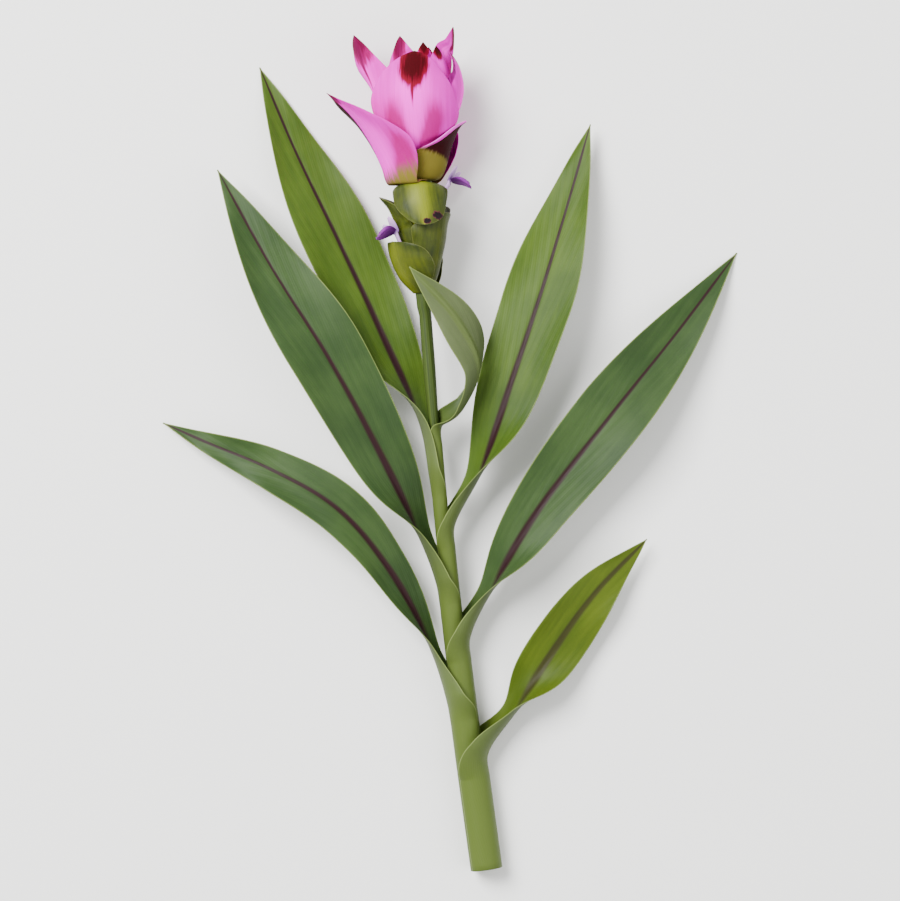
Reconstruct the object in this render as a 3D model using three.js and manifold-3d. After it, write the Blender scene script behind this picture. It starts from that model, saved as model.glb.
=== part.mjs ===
// Siam tulip: one flowering stem with its leaves, cut and laid on its side.
//
// Millimetres, +Z up. The bloom points along +Y, the two ranks of leaves lie to -X and +X,
// and the stem rests on z = 0. Azimuths round the stem and the bloom are counted from
// straight up (0) towards +X (90). Heights in the bloom run along its axis from its foot.

import * as THREE from 'three';
import { mergeVertices } from 'three/addons/utils/BufferGeometryUtils.js';
import Module from 'manifold-3d';

const wasm = await Module();
wasm.setup();

// Stalk and bloom
const CUT_Y = -222;
const BLOOM_FOOT = new THREE.Vector3(-12, 75, 27);
const BLOOM_LEAN = -0.02;
const STALK_CUT_X = 20;
const STALK_BOW = 3;
const STALK_FLAT_SHARE = 0.09;
const STALK_RADIUS = 2.6;
const STALK_SIDES = 10;
const RACHIS_TOP = 80;
const GOLDEN_ANGLE = 137.5;

// Leaf sheaths: rolled round the stalk one outside the other
const SHEATH_COUNT = 7;
const INNER_SHEATH_RADIUS = STALK_RADIUS + 0.57;
const SHEATH_WALL = 0.62;
const SHEATH_PITCH = 0.88;
const SHEATH_HALF_ANGLE = 144;
const SHEATH_STATION = 25;
const LEAF_COLUMNS = 8;
const LEAF_ROWS = 15;
const LEAF_WALL = 0.62;
const LEAF_KEEL = 0.8;
const LEAF_FLAT_ANGLE = 15;
const LEAF_CHANNEL_ANGLE = 78;

// Bracts
const BRACT_WALL = 0.8;
const BRACT_COLUMNS = 6;
const SEAT_GAP = 0.3;
const FLOOR = 0;

// Middle of the foot of the whole flower's box, which becomes the origin
const BOX_CENTRE = [1.55, -6.22, 0];

const DEGREE = Math.PI / 180;
const UP = new THREE.Vector3(0, 0, 1);

const group = new THREE.Group();
group.position.set(...BOX_CENTRE).negate();

function clamp01(value) {
  return Math.min(1, Math.max(0, value));
}

function mix(a, b, share) {
  return a + (b - a) * share;
}

// 0 below the start, 1 above the end, smooth between
function ease(start, end, value) {
  const t = clamp01((value - start) / (end - start));
  return t * t * (3 - 2 * t);
}

// Value of a broken line through [position, value] points
function along(points, position) {
  for (let i = 1; i < points.length; i += 1) {
    const [x1, y1] = points[i];
    const [x0, y0] = points[i - 1];
    if (position <= x1) {
      return mix(y0, y1, clamp01((position - x0) / (x1 - x0)));
    }
  }
  return points[points.length - 1][1];
}

// Gives the group a named mesh with its own material
function addMesh(name, geometry, color, roughness = 0.55) {
  const material = new THREE.MeshStandardMaterial({ color, roughness, metalness: 0 });
  const mesh = new THREE.Mesh(geometry, material);
  mesh.name = name;
  group.add(mesh);
}

function signedVolume(positions, indices) {
  const a = new THREE.Vector3();
  const b = new THREE.Vector3();
  const c = new THREE.Vector3();
  let sum = 0;
  for (let i = 0; i < indices.length; i += 3) {
    a.fromArray(positions, indices[i] * 3);
    b.fromArray(positions, indices[i + 1] * 3);
    c.fromArray(positions, indices[i + 2] * 3);
    sum += a.dot(b.cross(c));
  }
  return sum / 6;
}

function closedGeometry(points, indices) {
  const positions = points.flatMap((p) => [p.x, p.y, p.z]);
  const faces = indices.slice();
  if (signedVolume(positions, faces) < 0) {
    faces.reverse();
  }
  const geometry = new THREE.BufferGeometry();
  geometry.setAttribute('position', new THREE.Float32BufferAttribute(positions, 3));
  geometry.setIndex(faces);
  geometry.computeVertexNormals();
  return geometry;
}

// Solid between rings of equal length, closed by a fan at each end
function tubeSolid(rings) {
  const count = rings[0].length;
  const points = rings.flat();
  const indices = [];
  for (let i = 0; i < rings.length - 1; i += 1) {
    for (let j = 0; j < count; j += 1) {
      const a = i * count + j;
      const b = i * count + ((j + 1) % count);
      indices.push(a, b, b + count, a, b + count, a + count);
    }
  }
  const last = (rings.length - 1) * count;
  for (let j = 1; j < count - 1; j += 1) {
    indices.push(0, j + 1, j);
    indices.push(last, last + j, last + j + 1);
  }
  return closedGeometry(points, indices);
}

// Solid sheet on both sides of surface(row, v), with v from -1 to 1 across.
// inner(row, v) and outer(row, v) are the wall on the two sides of the surface.
// Both faces are split along the same diagonal, so that they never cross.
function sheetSolid(surface, rows, columns, inner, outer) {
  const step = 0.01;
  const points = [];
  for (let i = 0; i <= rows; i += 1) {
    for (let j = 0; j <= columns; j += 1) {
      const v = -1 + (2 * j) / columns;
      const point = surface(i, v);
      const forward = surface(Math.min(rows, i + step), v).sub(surface(Math.max(0, i - step), v));
      const across = surface(i, Math.min(1, v + step)).sub(surface(i, Math.max(-1, v - step)));
      const normal = forward.cross(across).normalize();
      points.push(point.clone().addScaledVector(normal, inner(i, v)));
      points.push(point.clone().addScaledVector(normal, -outer(i, v)));
    }
  }
  const at = (i, j, side) => (i * (columns + 1) + j) * 2 + side;
  const indices = [];
  const quad = (a, b, c, d) => indices.push(a, b, c, a, c, d);
  for (let i = 0; i < rows; i += 1) {
    for (let j = 0; j < columns; j += 1) {
      quad(at(i, j, 0), at(i + 1, j, 0), at(i + 1, j + 1, 0), at(i, j + 1, 0));
      indices.push(at(i, j, 1), at(i + 1, j + 1, 1), at(i + 1, j, 1));
      indices.push(at(i, j, 1), at(i, j + 1, 1), at(i + 1, j + 1, 1));
    }
    quad(at(i, 0, 0), at(i, 0, 1), at(i + 1, 0, 1), at(i + 1, 0, 0));
    quad(at(i, columns, 0), at(i + 1, columns, 0), at(i + 1, columns, 1), at(i, columns, 1));
  }
  for (let j = 0; j < columns; j += 1) {
    quad(at(0, j, 0), at(0, j + 1, 0), at(0, j + 1, 1), at(0, j, 1));
    quad(at(rows, j, 0), at(rows, j, 1), at(rows, j + 1, 1), at(rows, j + 1, 0));
  }
  return closedGeometry(points, indices);
}

// Presses a point that would sink into the table up on to it
function pressUp(point, halfWall) {
  const lowest = FLOOR + halfWall;
  if (point.z < lowest) {
    point.z = lowest;
  }
  return point;
}

// Stalk

const outerSheathRadius = INNER_SHEATH_RADIUS + SHEATH_PITCH * (SHEATH_COUNT - 1) + SHEATH_WALL / 2;
const cutHeight = outerSheathRadius * Math.cos(Math.PI / STALK_SIDES);

// Middle of the stalk at a place along Y, below the bloom
function stalkAxis(y) {
  const q = (y - CUT_Y) / (BLOOM_FOOT.y - CUT_Y);
  const x = mix(STALK_CUT_X, BLOOM_FOOT.x, q) - STALK_BOW * Math.sin(Math.PI * q);
  const z = mix(cutHeight, BLOOM_FOOT.z, ease(STALK_FLAT_SHARE, 1, q));
  return new THREE.Vector3(x, y, z);
}

// Axis point with the directions along, right and up at that place
function stalkFrame(y) {
  const point = stalkAxis(y);
  const forward = stalkAxis(y + 0.5).sub(stalkAxis(y - 0.5)).normalize();
  const right = forward.clone().cross(UP).normalize();
  const up = right.clone().cross(forward);
  return { point, forward, right, up };
}

const bloomForward = new THREE.Vector3(BLOOM_LEAN, 1, 0).normalize();
const bloomRight = bloomForward.clone().cross(UP).normalize();

// Point of the bloom at a height, radius and azimuth in degrees
function bloomPoint(height, radius, azimuth) {
  return BLOOM_FOOT.clone()
    .addScaledVector(bloomForward, height)
    .addScaledVector(bloomRight, radius * Math.sin(azimuth * DEGREE))
    .addScaledVector(UP, radius * Math.cos(azimuth * DEGREE));
}

function rachisRadius(height) {
  return along([[-12, 3.1], [2, 4.4], [14, 5.6], [50, 5.8], [60, 5.2], [RACHIS_TOP, 2.4]], height);
}

function buildStalk() {
  const rings = [];
  const ring = (pointAt) => {
    const points = [];
    for (let side = 0; side < STALK_SIDES; side += 1) {
      points.push(pointAt((180 + 360 * side) / STALK_SIDES));
    }
    rings.push(points);
  };
  const stations = [];
  for (let y = CUT_Y; y < BLOOM_FOOT.y - 14; y += SHEATH_STATION) {
    stations.push(y);
  }
  stations.forEach((y) => {
    const { point, right, up } = stalkFrame(y);
    const radius = mix(STALK_RADIUS, 3.1, ease(10, 40, y));
    ring((azimuth) => point.clone()
      .addScaledVector(right, radius * Math.sin(azimuth * DEGREE))
      .addScaledVector(up, radius * Math.cos(azimuth * DEGREE)));
  });
  [-8, 0, 7, 14, 50, 60, 70, RACHIS_TOP].forEach((height) => {
    ring((azimuth) => bloomPoint(height, rachisRadius(height), azimuth));
  });
  addMesh('flower_stalk', tubeSolid(rings), 0x6f8f3a);
}

// Leaves
//
// From the cut to the mouth the leaf is a sheath rolled round the stalk. Past the mouth the
// roll opens into a channel, leaves the stalk, turns its upper face and flattens into the blade.

const leaves = [
  {
    side: 1,
    mouth: -176,
    width: 14.5,
    color: 0x5f9a3c,
    face: [0.2, -0.1, 1],
    wave: 0.8,
    path: [[35, -141, 11], [53, -112, 12], [76, -80, 13], [103, -52, 9]],
  },
  {
    side: -1,
    mouth: -146,
    width: 13,
    color: 0x3f6b3c,
    face: [0.55, -0.2, 0.8],
    wave: 1.6,
    path: [[-10, -104, 15], [-29, -68, 22], [-56, -36, 26], [-90, -16, 22], [-124, -2, 11], [-147, 8, 0.2]],
  },
  {
    side: 1,
    mouth: -116,
    width: 18.5,
    color: 0x44733f,
    face: [-0.15, 0, 1],
    wave: 1,
    path: [[25, -74, 17], [46, -38, 23], [81, 8, 24], [118, 54, 13], [150, 96, 0.2]],
  },
  {
    side: -1,
    mouth: -86,
    width: 20,
    color: 0x3f6b3c,
    face: [0.2, 0, 1],
    wave: 1,
    path: [[-16, -46, 22], [-36, -4, 31], [-61, 42, 34], [-90, 88, 29], [-118, 138, 17]],
  },
  {
    side: 1,
    mouth: -58,
    width: 19,
    color: 0x5c8a3c,
    face: [-0.3, 0, 1],
    wave: 1.2,
    path: [[17, -18, 22], [32, 26, 25], [48, 74, 22], [62, 120, 14], [74, 162, 8]],
  },
  {
    side: -1,
    mouth: -30,
    width: 19.5,
    color: 0x5c8a3c,
    face: [0.3, 0, 1],
    wave: 1.2,
    path: [[-14, 8, 20], [-34, 55, 13], [-57, 104, 10], [-79, 150, 6], [-97, 192, 0.2]],
  },
  {
    side: 1,
    mouth: -6,
    width: 11,
    color: 0x6f8a62,
    face: [-0.35, 0.2, -0.9],
    wave: 0.5,
    path: [[8.6, 16, 31], [16, 36, 38], [6, 59, 44], [-19, 87, 46]],
  },
];

// Share of the full half width along the blade: a long taper from the stalk, then a point
function leafOutline(b) {
  const widest = 0.58;
  const foot = 0.36;
  if (b < widest) {
    return foot + (1 - foot) * Math.sin((Math.PI / 2) * (b / widest)) ** 1.5;
  }
  return (1 - ((b - widest) / (1 - widest)) ** 1.7) ** 1.05;
}

function leafSurface(leaf, radius) {
  const sheathRows = Math.ceil((leaf.mouth - CUT_Y) / SHEATH_STATION);
  const station = (row) => Math.min(leaf.mouth, CUT_Y + row * SHEATH_STATION);
  const midribOnStalk = (y, lift) => {
    const { point, right } = stalkFrame(y);
    return point.addScaledVector(right, leaf.side * (radius + lift));
  };
  const curve = new THREE.CatmullRomCurve3([
    midribOnStalk(leaf.mouth, 0),
    midribOnStalk(leaf.mouth + 12, 0.7),
    ...leaf.path.map((p) => new THREE.Vector3(...p)),
  ], false, 'centripetal');
  const length = curve.getLength();
  const face = new THREE.Vector3(...leaf.face).normalize();
  const sheathHalfWidth = SHEATH_HALF_ANGLE * DEGREE * radius;

  const section = (middle, forward, inward, halfWidth, angle, v, wave) => {
    const inwardOnly = inward.clone().addScaledVector(forward, -inward.dot(forward)).normalize();
    const across = inwardOnly.clone().cross(forward);
    const bend = halfWidth / angle;
    return middle.clone()
      .addScaledVector(across, bend * Math.sin(v * angle))
      .addScaledVector(inwardOnly, bend * (1 - Math.cos(v * angle)) + wave);
  };

  const surface = (row, v) => {
    if (row <= sheathRows) {
      const whole = Math.min(sheathRows - 1, Math.floor(row));
      const y = mix(station(whole), station(whole + 1), row - whole);
      const { point, forward, right } = stalkFrame(y);
      const inward = right.clone().multiplyScalar(-leaf.side);
      const middle = point.addScaledVector(right, leaf.side * radius);
      return section(middle, forward, inward, sheathHalfWidth, SHEATH_HALF_ANGLE * DEGREE, v, 0);
    }
    const b = ((row - sheathRows) / LEAF_ROWS) ** 1.25;
    const s = b * length;
    const middle = curve.getPointAt(b);
    const forward = curve.getTangentAt(b);
    const side = stalkFrame(leaf.mouth).right.multiplyScalar(-leaf.side);
    const inward = side.lerp(face, ease(22, 90, s)).normalize();
    const opened = mix(SHEATH_HALF_ANGLE, LEAF_CHANNEL_ANGLE, ease(0, 16, s));
    const angle = mix(opened, LEAF_FLAT_ANGLE, ease(12, 80, s)) * DEGREE;
    const blade = Math.max(0.35, leaf.width * leafOutline(b));
    const halfWidth = mix(sheathHalfWidth, blade, ease(6, 42, s));
    const ripple = leaf.wave * ease(40, 120, s) * (1 - ease(0.9, 1, b));
    const wave = ripple * v * v * Math.sin(b * 21 + v * 1.3 + leaf.mouth);
    const point = section(middle, forward, inward, halfWidth, angle, v, wave);
    return pressUp(point, LEAF_WALL / 2);
  };
  return { surface, sheathRows, rows: sheathRows + LEAF_ROWS };
}

function buildLeaf(leaf, index) {
  const radius = INNER_SHEATH_RADIUS + SHEATH_PITCH * (SHEATH_COUNT - 1 - index);
  const { surface, sheathRows, rows } = leafSurface(leaf, radius);
  const wall = LEAF_WALL / 2;
  const keel = (row, v) => {
    const grown = ease(sheathRows + 3, sheathRows + 6, row) * (1 - ease(rows - 3, rows, row));
    return v === 0 ? LEAF_KEEL * grown : 0;
  };
  const geometry = sheetSolid(surface, rows, LEAF_COLUMNS, () => wall, (row, v) => wall + keel(row, v));
  addMesh(`leaf_${index + 1}`, geometry, leaf.color);
}

// Bracts
//
// They stand in one spiral, each a golden angle and a small step above the last one.
// profile is a curve of [radius, height] points from the foot of the bract to its tip.

const greenBracts = [
  {
    order: -6,
    azimuth: 172,
    width: 10,
    profile: [[null, -3], [9.6, 5], [11.6, 13], [12.8, 22], [15.5, 27]],
  },
  {
    order: -5,
    azimuth: 301,
    width: 21.5,
    blunt: 4.4,
    fine: true,
    profile: [[null, -0.5], [10.4, 5], [14, 11], [16.6, 18], [18, 25.5]],
  },
  {
    order: -4,
    azimuth: 58,
    width: 20,
    profile: [[null, 3], [7.8, 10], [9.8, 18], [11.6, 26], [13, 35], [15, 40]],
  },
  {
    order: -3,
    azimuth: 156,
    width: 17,
    profile: [[null, 10], [9, 17], [11.4, 26], [13.4, 37], [17, 45]],
  },
  {
    order: -2,
    azimuth: 258,
    width: 18,
    profile: [[null, 15], [9.8, 22], [12.6, 31], [14.8, 38], [17.4, 43.5], [22, 49]],
  },
  {
    order: -1,
    azimuth: 352,
    width: 18,
    droop: 6,
    drift: 12,
    blunt: 1.6,
    fine: true,
    profile: [
      [null, 24], [9.4, 31], [11.6, 40], [12.2, 49], [12.8, 53.2],
      [14.2, 55.4], [16.4, 53.4], [18.6, 45], [19, 33.5],
    ],
  },
];

// body is the radius of the cup that the bract helps to form, top the rest of its profile;
// the two that spread most have a profile of their own instead.
// cup draws both edges in, twist draws one in and lets the other out.
// The broad ones in front are fine: they have more rows and columns.
const pinkBracts = [
  { order: 0, width: 20, foot: 54.4, body: 23, top: [[27, 91], [30, 98]] },
  {
    order: 1,
    azimuth: 293,
    width: 26,
    base: 0.5,
    taper: 1.2,
    fine: true,
    profile: [
      [null, 56], [11, 56.4], [15.5, 58.6], [19, 63.5], [23, 71],
      [27.5, 79], [33, 86.5], [41, 94], [51, 101],
    ],
  },
  {
    order: 2,
    azimuth: 75,
    width: 26,
    base: 0.6,
    gap: 2.5,
    tilt: 7,
    fine: true,
    profile: [[null, 57], [9.8, 58.2], [12.5, 63], [15, 71], [18, 78.5], [21.5, 84], [25, 86.5]],
  },
  { order: 3, width: 20, foot: 59, body: 22.5, base: 0.5, top: [[26, 93], [30, 102]] },
  {
    order: 4,
    azimuth: 352,
    width: 28,
    base: 0.1,
    taper: 0.72,
    twist: -3,
    fine: true,
    profile: [
      [null, 62.4], [11, 67], [15.8, 74], [20.4, 82.5], [24, 92],
      [25, 100], [23.5, 108], [18.5, 117], [15, 122],
    ],
  },
  {
    order: 5,
    azimuth: 84,
    width: 24,
    profile: [
      [null, 63.8], [10, 69], [13, 77], [16.8, 87],
      [20.6, 94.5], [22.4, 104], [20.6, 114], [16.5, 121.5],
    ],
  },
  { order: 6, width: 20, body: 20.6, cup: 2, twist: -13, top: [[24, 106], [29, 118], [33, 132]] },
  { order: 7, width: 17, body: 18, top: [[17, 108], [12, 125]] },
  { order: 8, width: 18, body: 20, top: [[20.4, 110], [20, 124]] },
  { order: 9, width: 18, body: 16.6, top: [[15.6, 110], [15, 119], [15.4, 130]] },
  { order: 10, azimuth: 86, width: 17, body: 16.2, cup: 1, twist: 8, top: [[15.4, 112], [18, 135]] },
  { order: 11, width: 14, body: 17, top: [[16, 113], [13.5, 124]] },
  { order: 12, width: 12, body: 13.6, top: [[12.4, 114], [9, 127]] },
  { order: 13, width: 11, body: 13.4, top: [[13, 114], [11, 126]] },
];

// Share of the way out, and height over the foot, where a pink bract widens into the cup
const CUP_RISE = [[0.3, 4.5], [0.62, 11], [0.86, 18.5], [1, 29]];
const SPREAD_RISE = [[0.36, 2.5], [0.5, 6], [0.66, 12], [0.82, 20], [1, 30]];
const SPREADING = 4;
const PINK_FOOT = 57;
const PINK_STEP = 1.35;
const WIDEST_SPAN = 84;
const BRACT_ROWS = 10;
const FINE_ROWS = 16;
const FINE_COLUMNS = 12;
const TIP_CROWDING = 1.3;
const PROFILE_SAMPLES = 80;

// How bracts press on each other
const NEST_GAP = 1.7;
const PRESS_BLEND = 1.5;
const CLEAR_PAST_EDGE = 12;
const OPENING_PAST_EDGE = 0.35;
const PLAIN_BRACT = { blunt: 3.4, taper: 0.9, cup: 0, twist: 0, tilt: 0, droop: 0, drift: 0, gap: NEST_GAP };

function bractAzimuth({ order, azimuth }) {
  return azimuth ?? 355 + GOLDEN_ANGLE * (order - 4);
}

// Share of the full half width along a bract, which starts with a share called base.
// The tip of a green bract is round, and the less so the lower the number called blunt.
// The tip of a pink one is pointed, and the less so the lower the number called taper.
function bractOutline(u, green, { base, blunt, taper }) {
  const widest = green ? 0.5 : 0.52;
  if (u < widest) {
    return base + (1 - base) * ease(0, 1, u / widest);
  }
  const rest = (u - widest) / (1 - widest);
  return green ? (1 - rest ** blunt) ** 0.5 : (1 - rest ** 1.35) ** taper;
}

function seatRadius(height) {
  return rachisRadius(height) + SEAT_GAP + BRACT_WALL / 2 + 0.1;
}

function ownProfile([[, foot], ...rest]) {
  return [[seatRadius(foot), foot], ...rest];
}

function cupProfile({ order, foot = PINK_FOOT + PINK_STEP * order, body, top }) {
  const seat = seatRadius(foot);
  const rise = order < SPREADING ? SPREAD_RISE : CUP_RISE;
  return [[seat, foot], ...rise.map(([share, height]) => [mix(seat, body, share), foot + height]), ...top];
}

// The smaller of two lengths, with the corner between them rounded
function smoothMin(a, b) {
  const near = Math.max(PRESS_BLEND - Math.abs(a - b), 0) / PRESS_BLEND;
  return Math.min(a, b) - near * near * PRESS_BLEND * 0.25;
}

// Room between the bloom's axis and the table at an azimuth
function roomOverTable(azimuth) {
  const down = -Math.cos(azimuth * DEGREE);
  return down > 0.1 ? (BLOOM_FOOT.z - FLOOR - BRACT_WALL / 2) / down : Infinity;
}

// Turn from one azimuth to another, from -180 to 180 degrees
function turn(from, to) {
  return ((((to - from + 180) % 360) + 360) % 360) - 180;
}

// A bract, pressed in by the table and by the bracts outside it
class Bract {
  constructor(bract, outside) {
    this.green = bract.order < 0;
    this.bract = { ...PLAIN_BRACT, base: this.green ? 0.5 : 0.3, ...bract };
    this.azimuth = bractAzimuth(bract);
    this.outside = outside;
    const profile = bract.profile ? ownProfile(bract.profile) : cupProfile(bract);
    this.curve = new THREE.SplineCurve(profile.map((point) => new THREE.Vector2(...point)));
    this.foot = profile[0][1];
    this.measureRise();
  }

  // Keeps [height, u] along the rising part of the profile, up to the rim or the tip
  measureRise() {
    this.rise = [];
    for (let i = 0; i <= PROFILE_SAMPLES; i += 1) {
      const u = i / PROFILE_SAMPLES;
      const height = this.curve.getPointAt(u).y;
      if (i > 0 && height < this.rise[this.rise.length - 1][0]) {
        break;
      }
      this.rise.push([height, u]);
    }
    [this.rim, this.rimAt] = this.rise[this.rise.length - 1];
  }

  outline(u) {
    return bractOutline(u, this.green, this.bract);
  }

  // Share of the tilt at this height; it grows from the base and is gone at the tip
  leaning(u) {
    return u * (1 - ease(0.7, 1, u));
  }

  // Half the angle that the bract takes up round the axis, in degrees
  span(u) {
    const halfWidth = Math.max(0.4, this.bract.width * this.outline(u));
    return Math.min(halfWidth / this.curve.getPointAt(u).x / DEGREE, WIDEST_SPAN);
  }

  radius(u, height, azimuth) {
    const v = turn(this.azimuth, azimuth) / this.span(u);
    const grown = ease(0.35, 0.85, u) * this.outline(u);
    const edge = (this.bract.twist * v - this.bract.cup * v * v) * grown;
    const free = this.curve.getPointAt(u).x + edge;
    if (this.green && u > this.rimAt) {
      return free;
    }
    const overTable = smoothMin(free, roomOverTable(azimuth));
    return this.outside.reduce((radius, other) => smoothMin(radius, other.room(height, azimuth)), overTable);
  }

  // Radius left inside this bract; it opens out again past the bract's edge and tip
  room(height, azimuth) {
    const within = Math.min(height, this.rim);
    const off = turn(this.azimuth, azimuth);
    const level = along(this.rise, within);
    const side = Math.max(-1, Math.min(1, off / this.span(level)));
    const u = along(this.rise, within - this.bract.tilt * side * this.leaning(level));
    const span = this.span(u);
    const past = Math.max(0, Math.abs(off) - span) * DEGREE * this.curve.getPointAt(u).x + height - within;
    if (height < this.foot || past > CLEAR_PAST_EDGE) {
      return Infinity;
    }
    const nearest = this.azimuth + Math.min(span, Math.max(-span, off));
    return this.radius(u, within, nearest) - this.bract.gap + past * OPENING_PAST_EDGE;
  }

  // The edges hang lower by the droop, the tilt lifts the right one and lowers the left one,
  // and the part past the rim swings round by the drift
  point(u, v) {
    const azimuth = this.azimuth + v * this.span(u);
    const height = this.curve.getPointAt(u).y + this.bract.tilt * v * this.leaning(u);
    const hang = this.bract.droop * (v * this.outline(u)) ** 2 * u;
    const swing = this.bract.drift * clamp01((u - this.rimAt) * 3);
    return bloomPoint(height - hang, this.radius(u, height, azimuth), azimuth + swing);
  }

  geometry() {
    const rows = this.bract.fine ? FINE_ROWS : BRACT_ROWS;
    const columns = this.bract.fine ? FINE_COLUMNS : BRACT_COLUMNS;
    const wall = () => BRACT_WALL / 2;
    const surface = (row, v) => this.point(1 - (1 - row / rows) ** TIP_CROWDING, v);
    return sheetSolid(surface, rows, columns, wall, wall);
  }
}

function buildBracts(list, name, color, roughness) {
  const placed = [];
  list.forEach((data, index) => {
    const bract = new Bract(data, placed.slice());
    placed.push(bract);
    addMesh(`${name}_${index + 1}`, bract.geometry(), color, roughness);
  });
}

// Florets
//
// Each has a pale tube with two side petals and a hood, fused in one, and a violet lip.
// The tube comes from the stalk at the height called root, in the pocket between two bracts.

const florets = [
  { name: 'left', azimuth: 304, facing: 290, root: 9.5, throat: [16.2, 30], rise: 8, roll: 30 },
  { name: 'right', azimuth: 88, facing: 80, root: 43, throat: [14.6, 56], rise: 8, roll: -20 },
];
const TUBE_SIDES = 8;
const TUBE_RADII = [0.9, 1.2, 1.9];
const PETAL_WALL = 0.6;
const PETAL_ROWS = 6;
const PETAL_COLUMNS = 4;

function toSolid(geometry) {
  const bare = geometry.clone();
  bare.deleteAttribute('normal');
  const merged = mergeVertices(bare);
  return new wasm.Manifold(new wasm.Mesh({
    numProp: 3,
    vertProperties: merged.attributes.position.array,
    triVerts: new Uint32Array(merged.index.array),
  }));
}

function fuse(geometries) {
  const mesh = geometries.map(toSolid).reduce((whole, next) => whole.add(next)).getMesh();
  const geometry = new THREE.BufferGeometry();
  geometry.setAttribute('position', new THREE.BufferAttribute(mesh.vertProperties, 3));
  geometry.setIndex(Array.from(mesh.triVerts));
  geometry.computeVertexNormals();
  return geometry;
}

// Origin at the throat, with directions out of the flower, across it and up over it
function floretFrame({ azimuth, facing, throat: [radius, height], rise, roll }) {
  const origin = bloomPoint(height, radius, azimuth);
  const out = bloomPoint(0, 1, facing).sub(BLOOM_FOOT)
    .multiplyScalar(Math.cos(rise * DEGREE))
    .addScaledVector(bloomForward, Math.sin(rise * DEGREE))
    .normalize();
  const level = out.clone().cross(bloomForward).normalize();
  const across = level.applyAxisAngle(out, roll * DEGREE);
  const over = across.clone().cross(out);
  return { origin, out, across, over };
}

// Petal that leaves the throat at a slope, bends by an angle along its length and is hollowed across
function petal(frame, { length, width, start, slope, bend, hollow, aside = 0, splay = 0, ruffle = 0 }) {
  const { origin, out, across, over } = frame;
  const surface = (row, v) => {
    const u = row / PETAL_ROWS;
    const angle = (slope + (bend * u) / 2) * DEGREE;
    const reach = start + length * u * Math.cos(angle);
    const lift = length * u * Math.sin(angle);
    const half = Math.max(0.3, (width / 2) * Math.sin(Math.PI * (0.12 + 0.8 * u)) ** 0.8);
    const frill = ruffle * u * v * v * Math.cos(v * 9 + u * 4);
    return origin.clone()
      .addScaledVector(out, reach)
      .addScaledVector(over, lift + hollow * (half * v * v) + frill)
      .addScaledVector(across, aside + splay * u + half * v);
  };
  const wall = () => PETAL_WALL / 2;
  return sheetSolid(surface, PETAL_ROWS, PETAL_COLUMNS, wall, wall);
}

function buildFloret(floret) {
  const frame = floretFrame(floret);
  const { azimuth, root } = floret;
  const foot = bloomPoint(root, rachisRadius(root) + SEAT_GAP + TUBE_RADII[0] / 2, azimuth);
  const rings = TUBE_RADII.map((radius, i) => {
    const middle = foot.clone().lerp(frame.origin, i / (TUBE_RADII.length - 1));
    return Array.from({ length: TUBE_SIDES }, (unused, side) => {
      const angle = (2 * Math.PI * side) / TUBE_SIDES;
      return middle.clone()
        .addScaledVector(frame.across, radius * Math.cos(angle))
        .addScaledVector(frame.over, radius * Math.sin(angle));
    });
  });
  const side = { length: 8.5, width: 5.4, start: -0.8, slope: 34, bend: 20, hollow: 0.25 };
  const pale = fuse([
    tubeSolid(rings),
    petal(frame, { ...side, aside: -1, splay: -3 }),
    petal(frame, { ...side, aside: 1, splay: 3 }),
    petal(frame, { length: 6, width: 2.8, start: -0.8, slope: 26, bend: 40, hollow: -0.3 }),
  ]);
  addMesh(`floret_${floret.name}`, pale, 0xe6dff0, 0.4);
  const lip = { length: 10.5, width: 11.5, start: 0.9, slope: -8, bend: -34, hollow: 0.1, ruffle: 0.7 };
  addMesh(`floret_${floret.name}_lip`, petal(frame, lip), 0x8a3fa8, 0.45);
}

buildStalk();
leaves.forEach(buildLeaf);
buildBracts(greenBracts, 'green_bract', 0x8fa03a, 0.5);
buildBracts(pinkBracts, 'pink_bract', 0xe86fd0, 0.45);
florets.forEach(buildFloret);

export default group;
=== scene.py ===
"""Siam tulip: one flowering stem with its leaves, cut and laid on its side.

Sizes are in millimetres until a mesh is made, and then in metres. The bloom points along +Y, the
two ranks of leaves lie to -X and +X, and the stem rests on the floor. Azimuths round the stem and
the bloom are in degrees, from straight up (0) towards +X (90). Heights in the bloom run along its
axis from its foot.
"""

import logging
import math
from dataclasses import dataclass, field
from enum import Enum

import bpy
import numpy as np
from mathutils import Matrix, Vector


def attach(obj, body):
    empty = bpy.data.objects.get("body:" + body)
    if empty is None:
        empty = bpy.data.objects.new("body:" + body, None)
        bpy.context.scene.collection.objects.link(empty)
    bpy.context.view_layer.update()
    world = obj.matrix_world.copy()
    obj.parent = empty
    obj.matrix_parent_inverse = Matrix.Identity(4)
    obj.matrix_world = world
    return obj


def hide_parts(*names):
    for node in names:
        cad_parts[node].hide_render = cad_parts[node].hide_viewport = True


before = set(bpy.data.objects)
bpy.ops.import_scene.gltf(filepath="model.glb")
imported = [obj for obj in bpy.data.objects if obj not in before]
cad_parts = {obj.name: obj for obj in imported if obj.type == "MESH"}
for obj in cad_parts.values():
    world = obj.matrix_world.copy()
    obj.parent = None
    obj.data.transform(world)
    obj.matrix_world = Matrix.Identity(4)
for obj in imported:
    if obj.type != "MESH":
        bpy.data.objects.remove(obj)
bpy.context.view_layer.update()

log = logging.getLogger("siam_tulip")

MM = 0.001
# The point of these sizes that lies at the frame's origin.
CENTRE = np.array([1.55, -6.22, 0.0])
FLOOR = 0.0
UP = np.array([0.0, 0.0, 1.0])
# How far a sheet's rim stands out, as a share of its wall.
RIM_ROUNDNESS = 0.35


# Numbers and curves


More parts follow.
